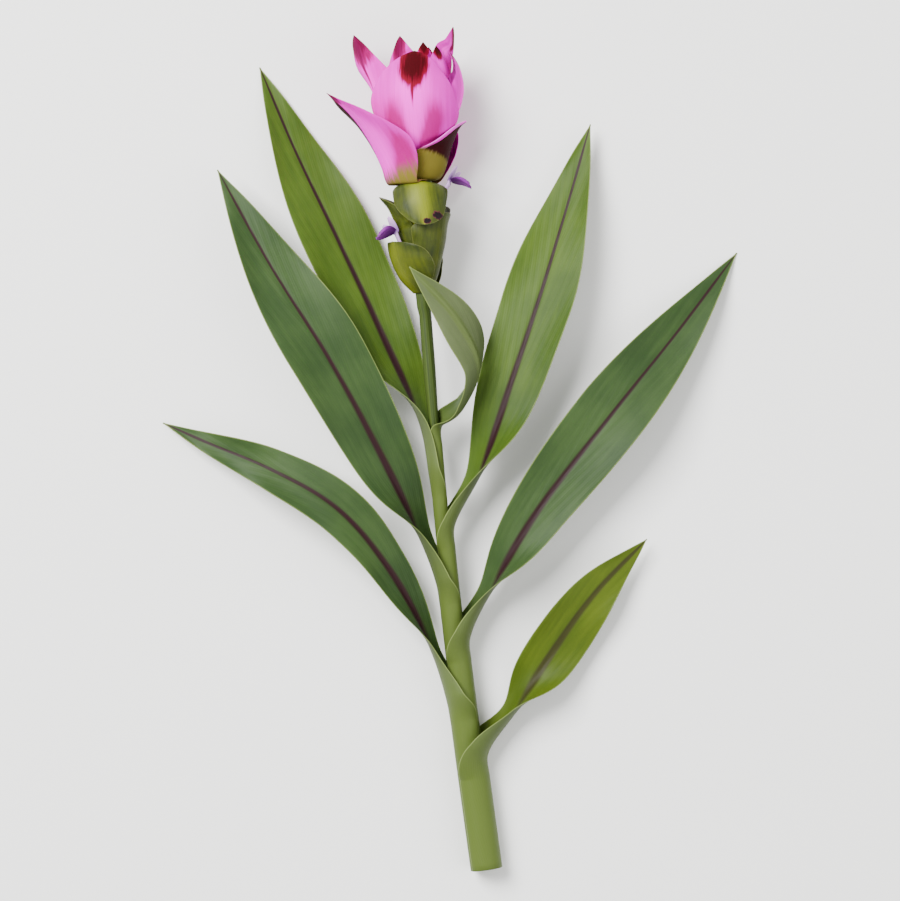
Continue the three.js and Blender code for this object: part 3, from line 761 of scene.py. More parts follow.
@dataclass(frozen=True)
class Leaf:
    """A leaf: a sheath rolled round the stalk, then a blade that leaves it and flattens.

    Attributes:
        index: Its number from the outside, from 0.
        rank: The side that it leans to.
        mouth: Place along Y where the sheath opens.
        width: Half width of the blade.
        face: Direction that the blade's upper face turns to.
        wave: Height of the waves of the blade's edges.
        path: Points of the midrib after the mouth.
        finish: The blade's finish.
        slot: A name for that finish's slot; not used.
    """

    index: int
    rank: Rank
    mouth: float
    width: float
    face: tuple[float, float, float]
    wave: float
    path: tuple[tuple[float, float, float], ...]
    finish: LeafBlade
    slot: str
    columns: int = 64
    blade_rows: int = 190
    crowding: float = 1.12
    sheath_step: float = 3.0
    # The wall with its relief: keel and groove at the midrib, side folds, thin edges.
    wall: float = 0.5
    edge_thin: tuple[float, float] = (0.55, 2.5)
    keel: float = 0.7
    keel_width: float = 1.1
    groove_depth: float = 0.35
    groove_width: float = 1.6
    fold: float = 3.4
    fold_height: float = 0.03
    wave_turns: float = 21.0
    wave_lag: float = 1.3
    press: float = 0.4
    # Half the angle of the arc across: in the sheath, just past its mouth and in the blade.
    sheath_angle: float = 144.0
    channel_angle: float = 78.0
    flat_angle: float = 15.0
    # The outline: where it is widest, its share of the width at the foot, its least half width.
    widest: float = 0.58
    base: float = 0.36
    narrowest: float = 0.3
    # How far past the mouth the midrib leaves the stalk, and how far it has lifted there.
    leave: tuple[float, float] = (12.0, 0.7)
    # Distances past the mouth between which the blade changes.
    opens: tuple[float, float] = (0.0, 16.0)
    flattens: tuple[float, float] = (12.0, 80.0)
    turns_over: tuple[float, float] = (22.0, 90.0)
    widens: tuple[float, float] = (6.0, 42.0)
    sheath_fades: tuple[float, float] = (-4.0, 46.0)
    rib_starts: tuple[float, float] = (14.0, 60.0)
    # The dark band: half width near the sheath and further on, and its share left at the tip.
    band: tuple[float, float] = (3.4, 1.0)
    band_narrows: tuple[float, float] = (20.0, 200.0)
    band_tip: float = 0.35

    def outline(self, b: np.ndarray) -> np.ndarray:
        """Share of the half width along the blade: a long sine rise, then a falling power."""
        rise = self.base + (1 - self.base) * np.sin(np.pi / 2 * np.clip(b / self.widest, 0, 1)) ** 1.5
        rest = np.clip((b - self.widest) / (1 - self.widest), 0, 1)
        return np.where(b < self.widest, rise, (1 - rest**1.7) ** 1.05)

    def sections(self) -> dict[str, np.ndarray]:
        """Middle, direction, inward direction, half width and bend of each row, sheath first."""
        radius = STEM.sheath_radius(self.index)
        sheath_half = math.radians(self.sheath_angle) * radius
        side = self.rank.value
        y = np.append(np.arange(STEM.cut_y, self.mouth, self.sheath_step), self.mouth)
        forward, right, _ = STEM.directions(y)
        sheath_rows = len(y)

        def by_stalk(place: float, lift: float) -> np.ndarray:
            """A point of the midrib where it still lies along the stalk."""
            _, beside, _ = STEM.directions(place)
            return STEM.axis(place) + beside * side * (radius + lift)

        on, lift = self.leave
        points = [by_stalk(self.mouth, 0.0), by_stalk(self.mouth + on, lift), *self.path]
        curve = Curve(points, centripetal=True)
        b = (np.arange(1, self.blade_rows + 1) / self.blade_rows) ** self.crowding
        s = b * curve.length
        start = -side * STEM.directions(self.mouth)[1]
        facing = unit(np.asarray(self.face, float))
        inward = unit(mix(start, facing, ease(*self.turns_over, s)[:, None]))
        opened = mix(self.sheath_angle, self.channel_angle, ease(*self.opens, s))
        bend = mix(opened, self.flat_angle, ease(*self.flattens, s))
        blade = np.maximum(self.narrowest, self.width * self.outline(b))
        half = mix(sheath_half, blade, ease(*self.widens, s))
        return {
            "middle": np.vstack([STEM.axis(y) + right * side * radius, curve.at(b)]),
            "forward": np.vstack([forward, curve.tangent(b)]),
            "inward": np.vstack([-side * right, inward]),
            "half": np.concatenate([np.full(sheath_rows, sheath_half), half]),
            "bend": np.radians(np.concatenate([np.full(sheath_rows, self.sheath_angle), bend])),
            "b": np.concatenate([np.zeros(sheath_rows), b]),
            "s": np.concatenate([y - self.mouth, s]),
        }

    def surface(self) -> tuple[np.ndarray, dict[str, np.ndarray]]:
        """Grid of points of the leaf, and what its finish reads there.

        A row is an arc across the midrib: a circle's arc of the half width on each side, bent by
        the row's angle. Waves grow with the square of the share across, and shallow folds follow
        the side veins. What would sink into the table is pressed up on to it.
        """
        row = self.sections()
        v = np.linspace(-1.0, 1.0, self.columns + 1)[None]
        half, bend = row["half"][:, None], row["bend"][:, None]
        s, b = row["s"][:, None], row["b"][:, None]
        forward = row["forward"]
        inward = unit(row["inward"] - forward * np.sum(row["inward"] * forward, axis=1, keepdims=True))
        sideways = np.cross(inward, forward)
        radius = half / bend

        def shows(start: float, full: float, fade: float) -> np.ndarray:
            """0 near the sheath, 1 from where it is full, and 0 again at the tip."""
            return ease(start, full, s) * (1 - ease(fade, 1.0, b))

        wave = self.wave * shows(40, 120, 0.9) * v * v
        wave = wave * np.sin(b * self.wave_turns + v * self.wave_lag + self.mouth)
        across = v * half
        lean = math.radians(self.finish.vein_angle)
        phase = (np.abs(across) * math.cos(lean) - s * math.sin(lean)) * 2 * np.pi / self.fold
        folds = self.fold_height * shows(30, 70, 0.85) * np.sin(phase)
        groove = -self.groove_depth * shows(20, 60, 0.8) * np.exp(-((across / self.groove_width) ** 2))
        points = (
            row["middle"][:, None]
            + (radius * np.sin(v * bend))[..., None] * sideways[:, None]
            + (radius * (1 - np.cos(v * bend)) + wave + folds + groove)[..., None] * inward[:, None]
        )
        lowest = FLOOR + self.wall / 2
        points[..., 2] = -smooth_min(-points[..., 2], np.full_like(across, -lowest), self.press)
        points[..., 2] = np.maximum(points[..., 2], lowest)
        band = mix(*self.band, ease(*self.band_narrows, s))
        band = band * (self.band_tip + (1 - self.band_tip) * (1 - ease(0.9, 1.0, b)))
        values = {
            "across": across + 0 * s,
            "along": s + 0 * across,
            "sheath": (1 - ease(*self.sheath_fades, s)) + 0 * across,
            "edge": half * (1 - np.abs(v)),
            "rib": np.exp(-((across / band) ** 2)) * ease(*self.rib_starts, s),
        }
        return points, values

    def build(self) -> bpy.types.Object:
        """The leaf as a thin sheet with a ridge along the back of its midrib."""
        points, values = self.surface()
        share, within = self.edge_thin
        thin = mix(share, 1.0, ease(0.0, within, values["edge"]))
        inner = self.wall / 2 * thin
        grown = ease(30, 80, values["along"]) * ease(0.5, 6.0, values["edge"])
        outer = inner + self.keel * grown * np.exp(-((values["across"] / self.keel_width) ** 2))
        shell = sheet_shell(points, inner, outer, values)
        number = self.index + 1
        return make_piece(f"leaf_blade_{number}", shell, self.finish.material(), f"leaf_{number}")


OLD_LEAF = LeafBlade("old leaf blade", upper="24371a", upper_light="364a25")
FULL_LEAF = LeafBlade("full leaf blade", upper="2e4312", upper_light="455a1b")
YOUNG_LEAF = LeafBlade("young leaf blade", upper="35460c", upper_light="4b5a12", band=0.7)
TURNED_LEAF = LeafBlade("turned leaf blade", upper="283621", upper_light="37462c")

LEAVES = (
    Leaf(
        0, Rank.RIGHT, -176, 14.5, (0.2, -0.1, 1), 0.8,
        ((35, -141, 11), (53, -112, 12), (76, -80, 13), (103, -52, 9)),
        YOUNG_LEAF, "young_leaf",
    ),
    Leaf(
        1, Rank.LEFT, -146, 13, (0.55, -0.2, 0.8), 1.6,
        ((-10, -104, 15), (-29, -68, 22), (-56, -36, 26), (-90, -16, 22), (-124, -2, 11), (-147, 8, 0.2)),
        OLD_LEAF, "leaf",
    ),
    Leaf(
        2, Rank.RIGHT, -116, 18.5, (-0.15, 0, 1), 1.0,
        ((25, -74, 17), (46, -38, 23), (81, 8, 24), (118, 54, 13), (150, 96, 0.2)),
        OLD_LEAF, "leaf",
    ),
    Leaf(
        3, Rank.LEFT, -86, 20, (0.2, 0, 1), 1.0,
        ((-16, -46, 22), (-36, -4, 31), (-61, 42, 34), (-90, 88, 29), (-118, 138, 17)),
        OLD_LEAF, "leaf",
    ),
    Leaf(
        4, Rank.RIGHT, -58, 19, (-0.3, 0, 1), 1.2,
        ((17, -18, 22), (32, 26, 25), (48, 74, 22), (62, 120, 14), (74, 162, 8)),
        FULL_LEAF, "young_leaf",
    ),
    Leaf(
        5, Rank.LEFT, -30, 19.5, (0.3, 0, 1), 1.2,
        ((-14, 8, 20), (-34, 55, 13), (-57, 104, 10), (-79, 150, 6), (-97, 192, 0.2)),
        FULL_LEAF, "young_leaf",
    ),
    Leaf(
        6, Rank.RIGHT, -6, 11, (-0.35, 0.2, -0.9), 0.5,
        ((8.6, 16, 31), (16, 36, 38), (6, 59, 44), (-19, 87, 46)),
        TURNED_LEAF, "leaf",
    ),
)


# Bracts


class BractKind(Enum):
    """The two kinds of bract: their slot, where they are widest, and how rows crowd to the tip."""

    GREEN = ("green_bract", 0.5, 2.0)
    PINK = ("pink_bract", 0.52, 1.5)

    def __init__(self, slot: str, widest: float, crowding: float) -> None:
        """Names the three."""
        self.slot = slot
        self.widest = widest
        self.crowding = crowding


@dataclass(frozen=True)
class Markings:
    """Where a bract's colours lie. Lengths are in millimetres and signs count to the right.

    Attributes:
        tip: How far the dark tip reaches down the midrib.
        tip_down: How far the dark tip's middle lies below the tip.
        ripe: How dark the dark tip is.
        tip_half: Half width of the dark tip.
        tip_shift: How far the dark tip lies off the midrib.
        spike: Length of the streak below the dark tip.
        spike_half: Half width of that streak.
        flush: Strength of the deep pink on both sides of the midrib.
        flush_at: How far off the midrib it lies, as a share of the half width.
        flush_spread: How wide it is, as such a share.
        foot: Length of the yellow-green foot.
        foot_slant: How much longer the foot is at the right edge, as a share.
        dusk_left: Strength of the maroon along the left edge, and its share of the half width.
        dusk_right: The same along the right edge.
        dusk_over: Strength of the maroon over the rest of the outer face.
        dusk_from: Share of the length where that maroon starts.
        dusk_slant: How much lower it starts at the right edge, as such a share.
        rolled: Share of the length from which the left edge rolls out, and how wide it does.
        pallor: Strength of the pale pink at the tip.
        glow: How light the middle is; on a green bract this is a painted highlight, with painted shade left
            on its sides.
        spots: Across, along from the tip and size of withered spots.
    """

    tip: float = 9.0
    tip_down: float = 0.0
    ripe: float = 1.0
    tip_half: float = 4.5
    tip_shift: float = 0.0
    spike: float = 0.0
    spike_half: float = 1.3
    flush: float = 0.4
    flush_at: float = 0.4
    flush_spread: float = 0.22
    foot: float = 6.0
    foot_slant: float = 0.0
    dusk_left: tuple[float, float] = (0.0, 0.5)
    dusk_right: tuple[float, float] = (0.0, 0.5)
    dusk_over: float = 0.0
    dusk_from: float = 0.45
    dusk_slant: float = 0.32
    rolled: tuple[float, float] = (1.0, 1.0)
    pallor: float = 0.0
    glow: float = 0.5
    spots: tuple[tuple[float, float, float], ...] = ()


@dataclass(frozen=True)
class Nesting:
    """How bracts press on each other."""

    gap: float = 1.7
    blend: float = 1.5
    clear: float = 12.0
    opening: float = 0.35
    release: float = 14.0
    height_step: float = 0.5
    low: float = -14.0
    high: float = 142.0
    turn_step: float = 2.0


NESTING = Nesting()


class Space:
    """Room left round the bloom's axis, on a grid of heights and azimuths."""

    def __init__(self) -> None:
        """Starts with the table alone, which lies flat below the axis."""
        n = NESTING
        self.heights = np.arange(n.low, n.high, n.height_step)
        self.azimuths = np.arange(0.0, 360.0 + n.turn_step, n.turn_step)
        self.height, self.azimuth = np.meshgrid(self.heights, self.azimuths, indexing="ij")
        down = -np.cos(np.radians(self.azimuth))
        depth = STEM.foot[2] - FLOOR - Bract.wall / 2
        self.room = np.where(down > 0.1, depth / np.maximum(down, 0.1), 200.0)

    def at(self, height: np.ndarray, azimuth: np.ndarray) -> np.ndarray:
        """The room at heights and azimuths, read between the grid's points in straight lines."""
        n = NESTING
        x = np.clip((height - n.low) / n.height_step, 0, len(self.heights) - 1.001)
        y = (azimuth % 360.0) / n.turn_step
        i, j = x.astype(int), y.astype(int)
        fx, fy = x - i, y - j
        low = mix(self.room[i, j], self.room[i, j + 1], fy)
        high = mix(self.room[i + 1, j], self.room[i + 1, j + 1], fy)
        return mix(low, high, fx)

    def enclose(self, bract: "Bract") -> None:
        """Takes away what lies outside a bract; past its edges the room opens out again."""
        n = NESTING
        within = np.minimum(self.height, bract.rim)
        off = turn(bract.azimuth, self.azimuth)
        level = np.interp(within, bract.rise_height, bract.rise_u)
        side = np.clip(off / bract.span(level), -1.0, 1.0)
        leant = bract.tilt * side * bract.leaning(level)
        u = np.interp(within - leant, bract.rise_height, bract.rise_u)
        span = bract.span(u)
        past = np.radians(np.maximum(0.0, np.abs(off) - span)) * bract.reach(u) + self.height - within
        nearest = bract.azimuth + np.clip(off, -span, span)
        opening = past * n.opening + n.release * ease(0.3, 1.0, past / n.clear)
        room = bract.radius(u, within, nearest, self) - bract.gap + opening
        outside = (self.height < bract.foot) | (past > n.clear)
        self.room = smooth_min(self.room, np.where(outside, 200.0, room), n.blend)


@dataclass
class Bract:
    """A bract, drawn in by the table and by the bracts outside it.

    Attributes:
        kind: Green or pink.
        number: Its number from below, from 1.
        azimuth: Where it stands round the axis.
        width: Half its greatest width.
        profile: Radius and height of points from its foot to its tip; the first radius is its seat.
        base: Share of the half width at its foot.
        blunt: How blunt the tip of a green bract is.
        taper: How pointed the tip of a pink bract is.
        draw: How early the tip of a pink bract starts to narrow.
        cup: How far both edges are drawn in.
        twist: How far one edge is drawn in and the other one let out.
        tilt: How far the right edge is lifted and the left one lowered.
        droop: How far the edges hang lower than the middle.
        drift: How far the lip swings round.
        gap: The room that it leaves to the next one inside.
        ripple: Height of the ripples of its edges.
        ripple_turns: How fast they run along it, across it, and from one bract to the next.
        free: Shares of the length between which its edges come free of the cup.
        edge_wall: Share of the wall at its edges and in its middle.
        narrowest: Least half width.
        marks: Its colours.
    """

    kind: BractKind
    number: int
    azimuth: float
    width: float
    profile: list[tuple[float, float]]
    base: float = 0.3
    blunt: float = 3.4
    taper: float = 0.9
    draw: float = 1.35
    cup: float = 0.0
    twist: float = 0.0
    tilt: float = 0.0
    droop: float = 0.0
    drift: float = 0.0
    gap: float = NESTING.gap
    ripple: float = 0.35
    ripple_turns: tuple[float, float, float] = (23.0, 2.0, 1.7)
    free: tuple[float, float] = (0.35, 0.85)
    edge_wall: tuple[float, float] = (0.45, 0.95)
    narrowest: float = 0.08
    marks: Markings = field(default_factory=Markings)
    rows: int = 84
    columns: int = 64
    wall: float = 0.8
    widest_span: float = 84.0

    def __post_init__(self) -> None:
        """Samples the profile, and its rise up to the rim or the tip."""
        self.foot = self.profile[0][1]
        curve = Curve([(BLOOM.seat(self.foot), self.foot), *self.profile[1:]], centripetal=False)
        self.length = curve.length
        self.u = curve.distance / curve.length
        self.profile_radius, self.profile_height = curve.points.T
        falling = np.flatnonzero(np.diff(self.profile_height) < 0)
        top = falling[0] + 1 if len(falling) else len(self.u)
        self.rise_height, self.rise_u = self.profile_height[:top], self.u[:top]
        self.rim, self.rim_at = float(self.rise_height[-1]), float(self.rise_u[-1])

    def reach(self, u: np.ndarray) -> np.ndarray:
        """Radius of the free profile at shares of its length."""
        return np.interp(u, self.u, self.profile_radius)

    def outline(self, u: np.ndarray) -> np.ndarray:
        """Share of the half width: a smooth rise from the foot, then a round or a pointed tip."""
        widest = self.kind.widest
        rise = self.base + (1 - self.base) * ease(0, 1, u / widest)
        rest = np.clip((u - widest) / (1 - widest), 0, 1)
        round_tip = self.kind is BractKind.GREEN
        tip = (1 - rest**self.blunt) ** 0.5 if round_tip else (1 - rest**self.draw) ** self.taper
        return np.where(u < widest, rise, tip)

    def leaning(self, u: np.ndarray) -> np.ndarray:
        """Share of the tilt: it grows from the foot and is gone again at the tip."""
        return u * (1 - ease(0.7, 1.0, u))

    def span(self, u: np.ndarray) -> np.ndarray:
        """Half the angle that the bract takes up round the axis, in degrees."""
        half = np.maximum(self.narrowest, self.width * self.outline(u))
        return np.minimum(np.degrees(half / self.reach(u)), self.widest_span)

    def radius(self, u: np.ndarray, height: np.ndarray, azimuth: np.ndarray, space: Space) -> np.ndarray:
        """Radius at shares of the length, where the space and the drawn edges let the profile be.

        The lip of a green bract hangs outside the others and is free.
        """
        v = turn(self.azimuth, azimuth) / self.span(u)
        grown = ease(*self.free, u) * self.outline(u)
        free = self.reach(u) + (self.twist * v - self.cup * v * v) * grown
        pressed = smooth_min(free, space.at(height, azimuth), NESTING.blend)
        if self.kind is BractKind.GREEN:
            return np.where(u > self.rim_at, free, pressed)
        return pressed

    def surface(self, space: Space) -> tuple[np.ndarray, dict[str, np.ndarray]]:
        """Grid of points of the bract, and what its finish reads there.

        A point lies at the height of the profile, at the pressed radius, and at its share of the
        span round the axis. Rows crowd towards the tip. The edges ripple a little.
        """
        u = (1 - (1 - np.linspace(0, 1, self.rows + 1)) ** self.kind.crowding)[:, None]
        v = np.linspace(-1.0, 1.0, self.columns + 1)[None]
        u, v = np.broadcast_arrays(u, v)
        span = self.span(u)
        azimuth = self.azimuth + v * span
        height = np.interp(u, self.u, self.profile_height) + self.tilt * v * self.leaning(u)
        radius = self.radius(u, height, azimuth, space)
        along, over, lag = self.ripple_turns
        ripple = self.ripple * np.abs(v) ** 3 * np.sin(u * along + v * over + self.number * lag)
        radius = radius + ripple * ease(0.3, 0.7, u) * (1 - ease(0.9, 1.0, u))
        hang = self.droop * (v * self.outline(u)) ** 2 * u
        swing = self.drift * np.clip((u - self.rim_at) * 3, 0, 1)
        points = BLOOM.point(height - hang, radius, azimuth + swing)
        points[..., 2] = np.maximum(points[..., 2], FLOOR + self.wall / 2)
        return points, self.colour_fields(u, v, np.radians(span) * radius)

    def colour_fields(self, u: np.ndarray, v: np.ndarray, half: np.ndarray) -> dict[str, np.ndarray]:
        """What the finish reads: each marking as a smooth field that is over 0 or near 1 inside it.

        The dark tip is an ellipse about the tip with a narrow streak below it. The flush is two
        bands beside the midrib that fade upwards. The foot, the maroon edges and the pale tip
        fade with the distance from the foot, the edge and the tip. The maroon over the face
        starts on a slant, and the rolled edge shows the pink inner face instead.

        Args:
            u: Share of the length.
            v: Place across, from -1 at the left edge to 1 at the right one.
            half: Half the width there, in millimetres.

        Returns:
            A value for each point, by name.
        """
        m = self.marks
        across, along = v * half, u * self.length
        from_tip = self.length - along
        x = across - m.tip_shift
        below = from_tip - m.tip_down
        reach = np.where(below > 0, max(m.tip - m.tip_down, 0.1), m.tip_down + 4.0)
        ellipse = 1 - (x / m.tip_half) ** 2 - (below / reach) ** 2
        streak = 1 - (x / m.spike_half) ** 2 - (from_tip / max(m.tip + m.spike, 0.1)) ** 2
        blotch = np.maximum(ellipse, streak) if m.spike > 0 else ellipse
        beside = np.exp(-(((np.abs(v) - m.flush_at) / m.flush_spread) ** 2))
        flush = m.flush * beside * (1 - ease(0.32, 0.74, u)) + 0.5 * m.flush * (1 - ease(0.1, 0.4, u))
        left = m.dusk_left[0] * ease(m.dusk_left[1], 0.6 * m.dusk_left[1], 1 + v)
        right = m.dusk_right[0] * ease(m.dusk_right[1], 0.6 * m.dusk_right[1], 1 - v)
        over = m.dusk_over * ease(m.dusk_from - 0.14, m.dusk_from + 0.16, u + m.dusk_slant * v)
        start, width = m.rolled
        from_left = half * (1 + v)
        rolled = ease(start, start + 0.2, u) * ease(width, 0.7 * width, from_left)
        foot = m.foot * (1 + m.foot_slant * v)
        spot = np.full_like(u, -1.0)
        for place, down, size in m.spots:
            distance = np.hypot((across - place) / 1.3, from_tip - down)
            spot = np.maximum(spot, 0.6 - 0.6 * distance / size)
        dusk = np.maximum(np.maximum(left, right) * ease(0.2, 0.5, u), over) * (1 - rolled) - rolled
        pallor = np.maximum(m.pallor * (1 - ease(2.0, 9.0, from_tip)), rolled * ease(1.4, 0.4, from_left))
        return {
            "across": across,
            "along": along,
            "blotch": np.clip(blotch, -3.0, 1.0),
            "ripe": np.full_like(u, m.ripe),
            "flush": flush,
            "foot": (1.0 - ease(foot * 0.3, foot * 1.3, along)) * (1 - rolled),
            "dusk": dusk,
            "pallor": pallor,
            # On a green bract this field is painted light: a highlight down the middle that falls off to
            # painted shade on the sides.
            "glow": m.glow * np.exp(-((v / 0.34) ** 2)),
            "spot": spot,
            "edge": np.minimum(half * (1 - np.abs(v)), from_tip),
        }

    def build(self, space: Space, material: bpy.types.Material) -> bpy.types.Object:
        """The bract as a sheet that thins towards its edges."""
        points, values = self.surface(space)
        half_wall = self.wall / 2 * mix(*self.edge_wall, ease(0.0, 3.0, values["edge"]))
        shell = sheet_shell(points, half_wall, half_wall, values)
        name = f"{self.kind.slot}_{self.number}"
        return make_piece(f"{name}_blade", shell, material, name)


# Sizes of the bracts from the lowest up, in the words of Bract. Profiles start at the seat.
# Each green bract's glow sets how much painted highlight and painted shade it gets.
GREEN_BRACTS = (
    dict(
        azimuth=172, width=10,
        profile=[(0, -3), (9.6, 5), (11.6, 13), (12.8, 22), (15.5, 27)],
        marks=Markings(glow=0.25),
    ),
    dict(
        azimuth=301, width=21.5, blunt=4.4,
        profile=[(0, -0.5), (10.4, 5), (14, 11), (16.6, 18), (18, 25.5)],
        marks=Markings(glow=0.55),
    ),
    dict(
        azimuth=58, width=20,
        profile=[(0, 3), (7.8, 10), (9.8, 18), (11.6, 26), (13, 35), (15, 40)],
        marks=Markings(glow=0.1),
    ),
    dict(
        azimuth=156, width=17,
        profile=[(0, 10), (9, 17), (11.4, 26), (13.4, 37), (17, 45)],
        marks=Markings(glow=0.3),
    ),
    dict(
        azimuth=258, width=18,
        profile=[(0, 15), (9.8, 22), (12.6, 31), (14.8, 38), (17.4, 43.5), (22, 49)],
        marks=Markings(glow=0.75, spots=((1.0, 1.0, 2.2),)),
    ),
    dict(
        azimuth=352, width=18, droop=6, drift=12, blunt=1.6,
        profile=[
            (0, 24), (9.4, 31), (11.6, 40), (12.2, 49), (12.8, 53.2), (14.2, 55.4), (16.4, 53.4), (18.6, 45),
            (19, 33.5),
        ],
        marks=Markings(glow=1.0, spots=((1.2, 2.0, 1.6), (7.5, 5.4, 2.4))),
    ),
)

# How the outer and the inner pink bracts rise: share of the way out to the cup, and height.
SPREAD_RISE = ((0.36, 2.5), (0.5, 6), (0.66, 12), (0.82, 20), (1, 30))
CUP_RISE = ((0.3, 4.5), (0.62, 11), (0.86, 18.5), (1, 29))
# The first few bracts spread; each next one stands a golden angle and a step further on.
SPREADING = 4
PINK_FOOT = 57.0
PINK_STEP = 1.35
GOLDEN_ANGLE = 137.5
FRONT_AZIMUTH = 355.0

PINK_BRACTS = (
    dict(width=20, foot=54.4, body=23, top=[(27, 91), (30, 98)], marks=Markings(foot=14)),
    dict(
        azimuth=293, width=26, base=0.6, taper=1.2, gap=1.1,
        profile=[
            (0, 56.2), (11, 56.6), (14.6, 56.4), (16.6, 55), (18.2, 57.6), (19.8, 63.5), (23, 71), (27.5, 79),
            (33, 86.5), (41, 94), (51, 101),
        ],
        marks=Markings(
            tip=9, tip_half=4, ripe=0.6, flush=1.5, flush_at=0.72, foot=20, foot_slant=0.35,
            dusk_left=(1.3, 0.95), glow=0.7,
        ),
    ),
    dict(
        azimuth=71, width=26, base=0.6, gap=2.5, tilt=7,
        profile=[(0, 57), (9.8, 58.2), (12.5, 63), (15, 71), (18, 78.5), (21.5, 84), (25, 86.5)],
        marks=Markings(
            tip=0, tip_half=0.1, flush=0.5, foot=44, dusk_over=1.4, dusk_from=0.36, rolled=(0.6, 5.0),
            pallor=0.9, glow=0.2,
        ),
    ),
    dict(width=20, foot=59, base=0.5, body=22.5, top=[(26, 93), (30, 102)], marks=Markings(foot=12)),
    dict(
        azimuth=352, width=28, base=0.1, taper=0.72, twist=-3,
        profile=[
            (0, 62.4), (11, 67), (15.8, 74), (20.4, 82.5), (24, 92), (25, 100), (23.5, 108), (18.5, 117),
            (15, 122),
        ],
        marks=Markings(tip=22, tip_down=8, tip_half=8, spike=8, flush=1.4, foot=3, glow=0.7),
    ),
    dict(
        azimuth=84, width=24,
        profile=[
            (0, 63.8), (10, 69), (13, 77), (16.8, 87), (20.6, 94.5), (22.4, 104), (20.6, 114), (16.5, 121.5),
        ],
        marks=Markings(tip=8, tip_half=3, flush=0.5, dusk_left=(0.72, 0.3)),
    ),
    dict(
        width=20, body=20.6, cup=2, twist=-13, top=[(24, 106), (29, 118), (33, 132)],
        marks=Markings(tip=17, tip_half=8, ripe=0.68, spike=14, flush=0.5),
    ),
    dict(width=17, body=18, top=[(17, 108), (12, 125)], marks=Markings(tip=8, tip_half=4)),
    dict(width=18, body=20, top=[(20.4, 110), (20, 124)], marks=Markings(tip=9, tip_half=4)),
    dict(
        width=18, body=16.6, top=[(15.6, 110), (15, 119), (15.4, 130)],
        marks=Markings(tip=17, tip_half=5, tip_shift=-1.5, ripe=0.7, spike=8, flush=0.5),
    ),
    dict(
        azimuth=82, width=19, body=16.2, cup=1, twist=5, ripple=0.0, top=[(15.4, 112), (18, 135)],
        marks=Markings(tip=13, tip_half=3.6, tip_shift=2.2, ripe=0.85, dusk_right=(1.0, 0.15)),
    ),
    dict(width=14, body=17, top=[(16, 113), (13.5, 124)], marks=Markings(tip=9, tip_half=3)),
    dict(width=12, body=13.6, top=[(12.4, 114), (9, 127)], marks=Markings(tip=9, tip_half=3.4)),
    dict(width=11, body=13.4, top=[(13, 114), (11, 126)], marks=Markings(tip=8, tip_half=3)),
)


class Bloom:
    """The green pouch bracts and the pink coma above them."""

    def green(self) -> list[Bract]:
        """The green bracts, from the lowest up."""
        return [Bract(BractKind.GREEN, i + 1, base=0.5, **data) for i, data in enumerate(GREEN_BRACTS)]

    def pink(self) -> list[Bract]:
        """The pink bracts in their spiral, each a golden angle and a small step above the last.

        One without a profile of its own rises from its seat out to the cup's radius, called
        body, by the shares and heights of the rise, and then follows its top.
        """
        bracts = []
        for order, given in enumerate(PINK_BRACTS):
            data = dict(given)
            data.setdefault("azimuth", (FRONT_AZIMUTH + GOLDEN_ANGLE * (order - SPREADING)) % 360.0)
            foot = data.pop("foot", PINK_FOOT + PINK_STEP * order)
            if "profile" not in data:
                body, top = data.pop("body"), data.pop("top")
                seat = BLOOM.seat(foot)
                rise = SPREAD_RISE if order < SPREADING else CUP_RISE
                curve = [(mix(seat, body, share), foot + height) for share, height in rise]
                data["profile"] = [(seat, foot), *curve, *top]
            bracts.append(Bract(BractKind.PINK, order + 1, **data))
        return bracts

    def build(self) -> None:
        """Builds each list from the outside in, and takes its room away from the next ones."""
        for bracts, finish in ((self.green(), GreenBract()), (self.pink(), PinkBract())):
            space = Space()
            material = finish.material()
            for bract in bracts:
                bract.build(space, material)
                space.enclose(bract)


# Florets


@dataclass(frozen=True)
class PetalShape:
    """A petal of a floret, in millimetres and degrees, from the throat."""

    length: float
    width: float
    start: float
    slope: float
    bend: float
    hollow: float
    aside: float = 0.0
    splay: float = 0.0
    ruffle: float = 0.0
    frill: tuple[float, float] = (9.0, 23.0)
    narrowest: float = 0.3


SIDE_PETAL = PetalShape(8.5, 5.4, -0.8, 34.0, 20.0, 0.25, aside=1.0, splay=3.0)
HOOD = PetalShape(6.0, 2.8, -0.8, 26.0, 40.0, -0.3)
LIP = PetalShape(10.5, 11.5, 0.9, -8.0, -34.0, 0.1, ruffle=1.3)


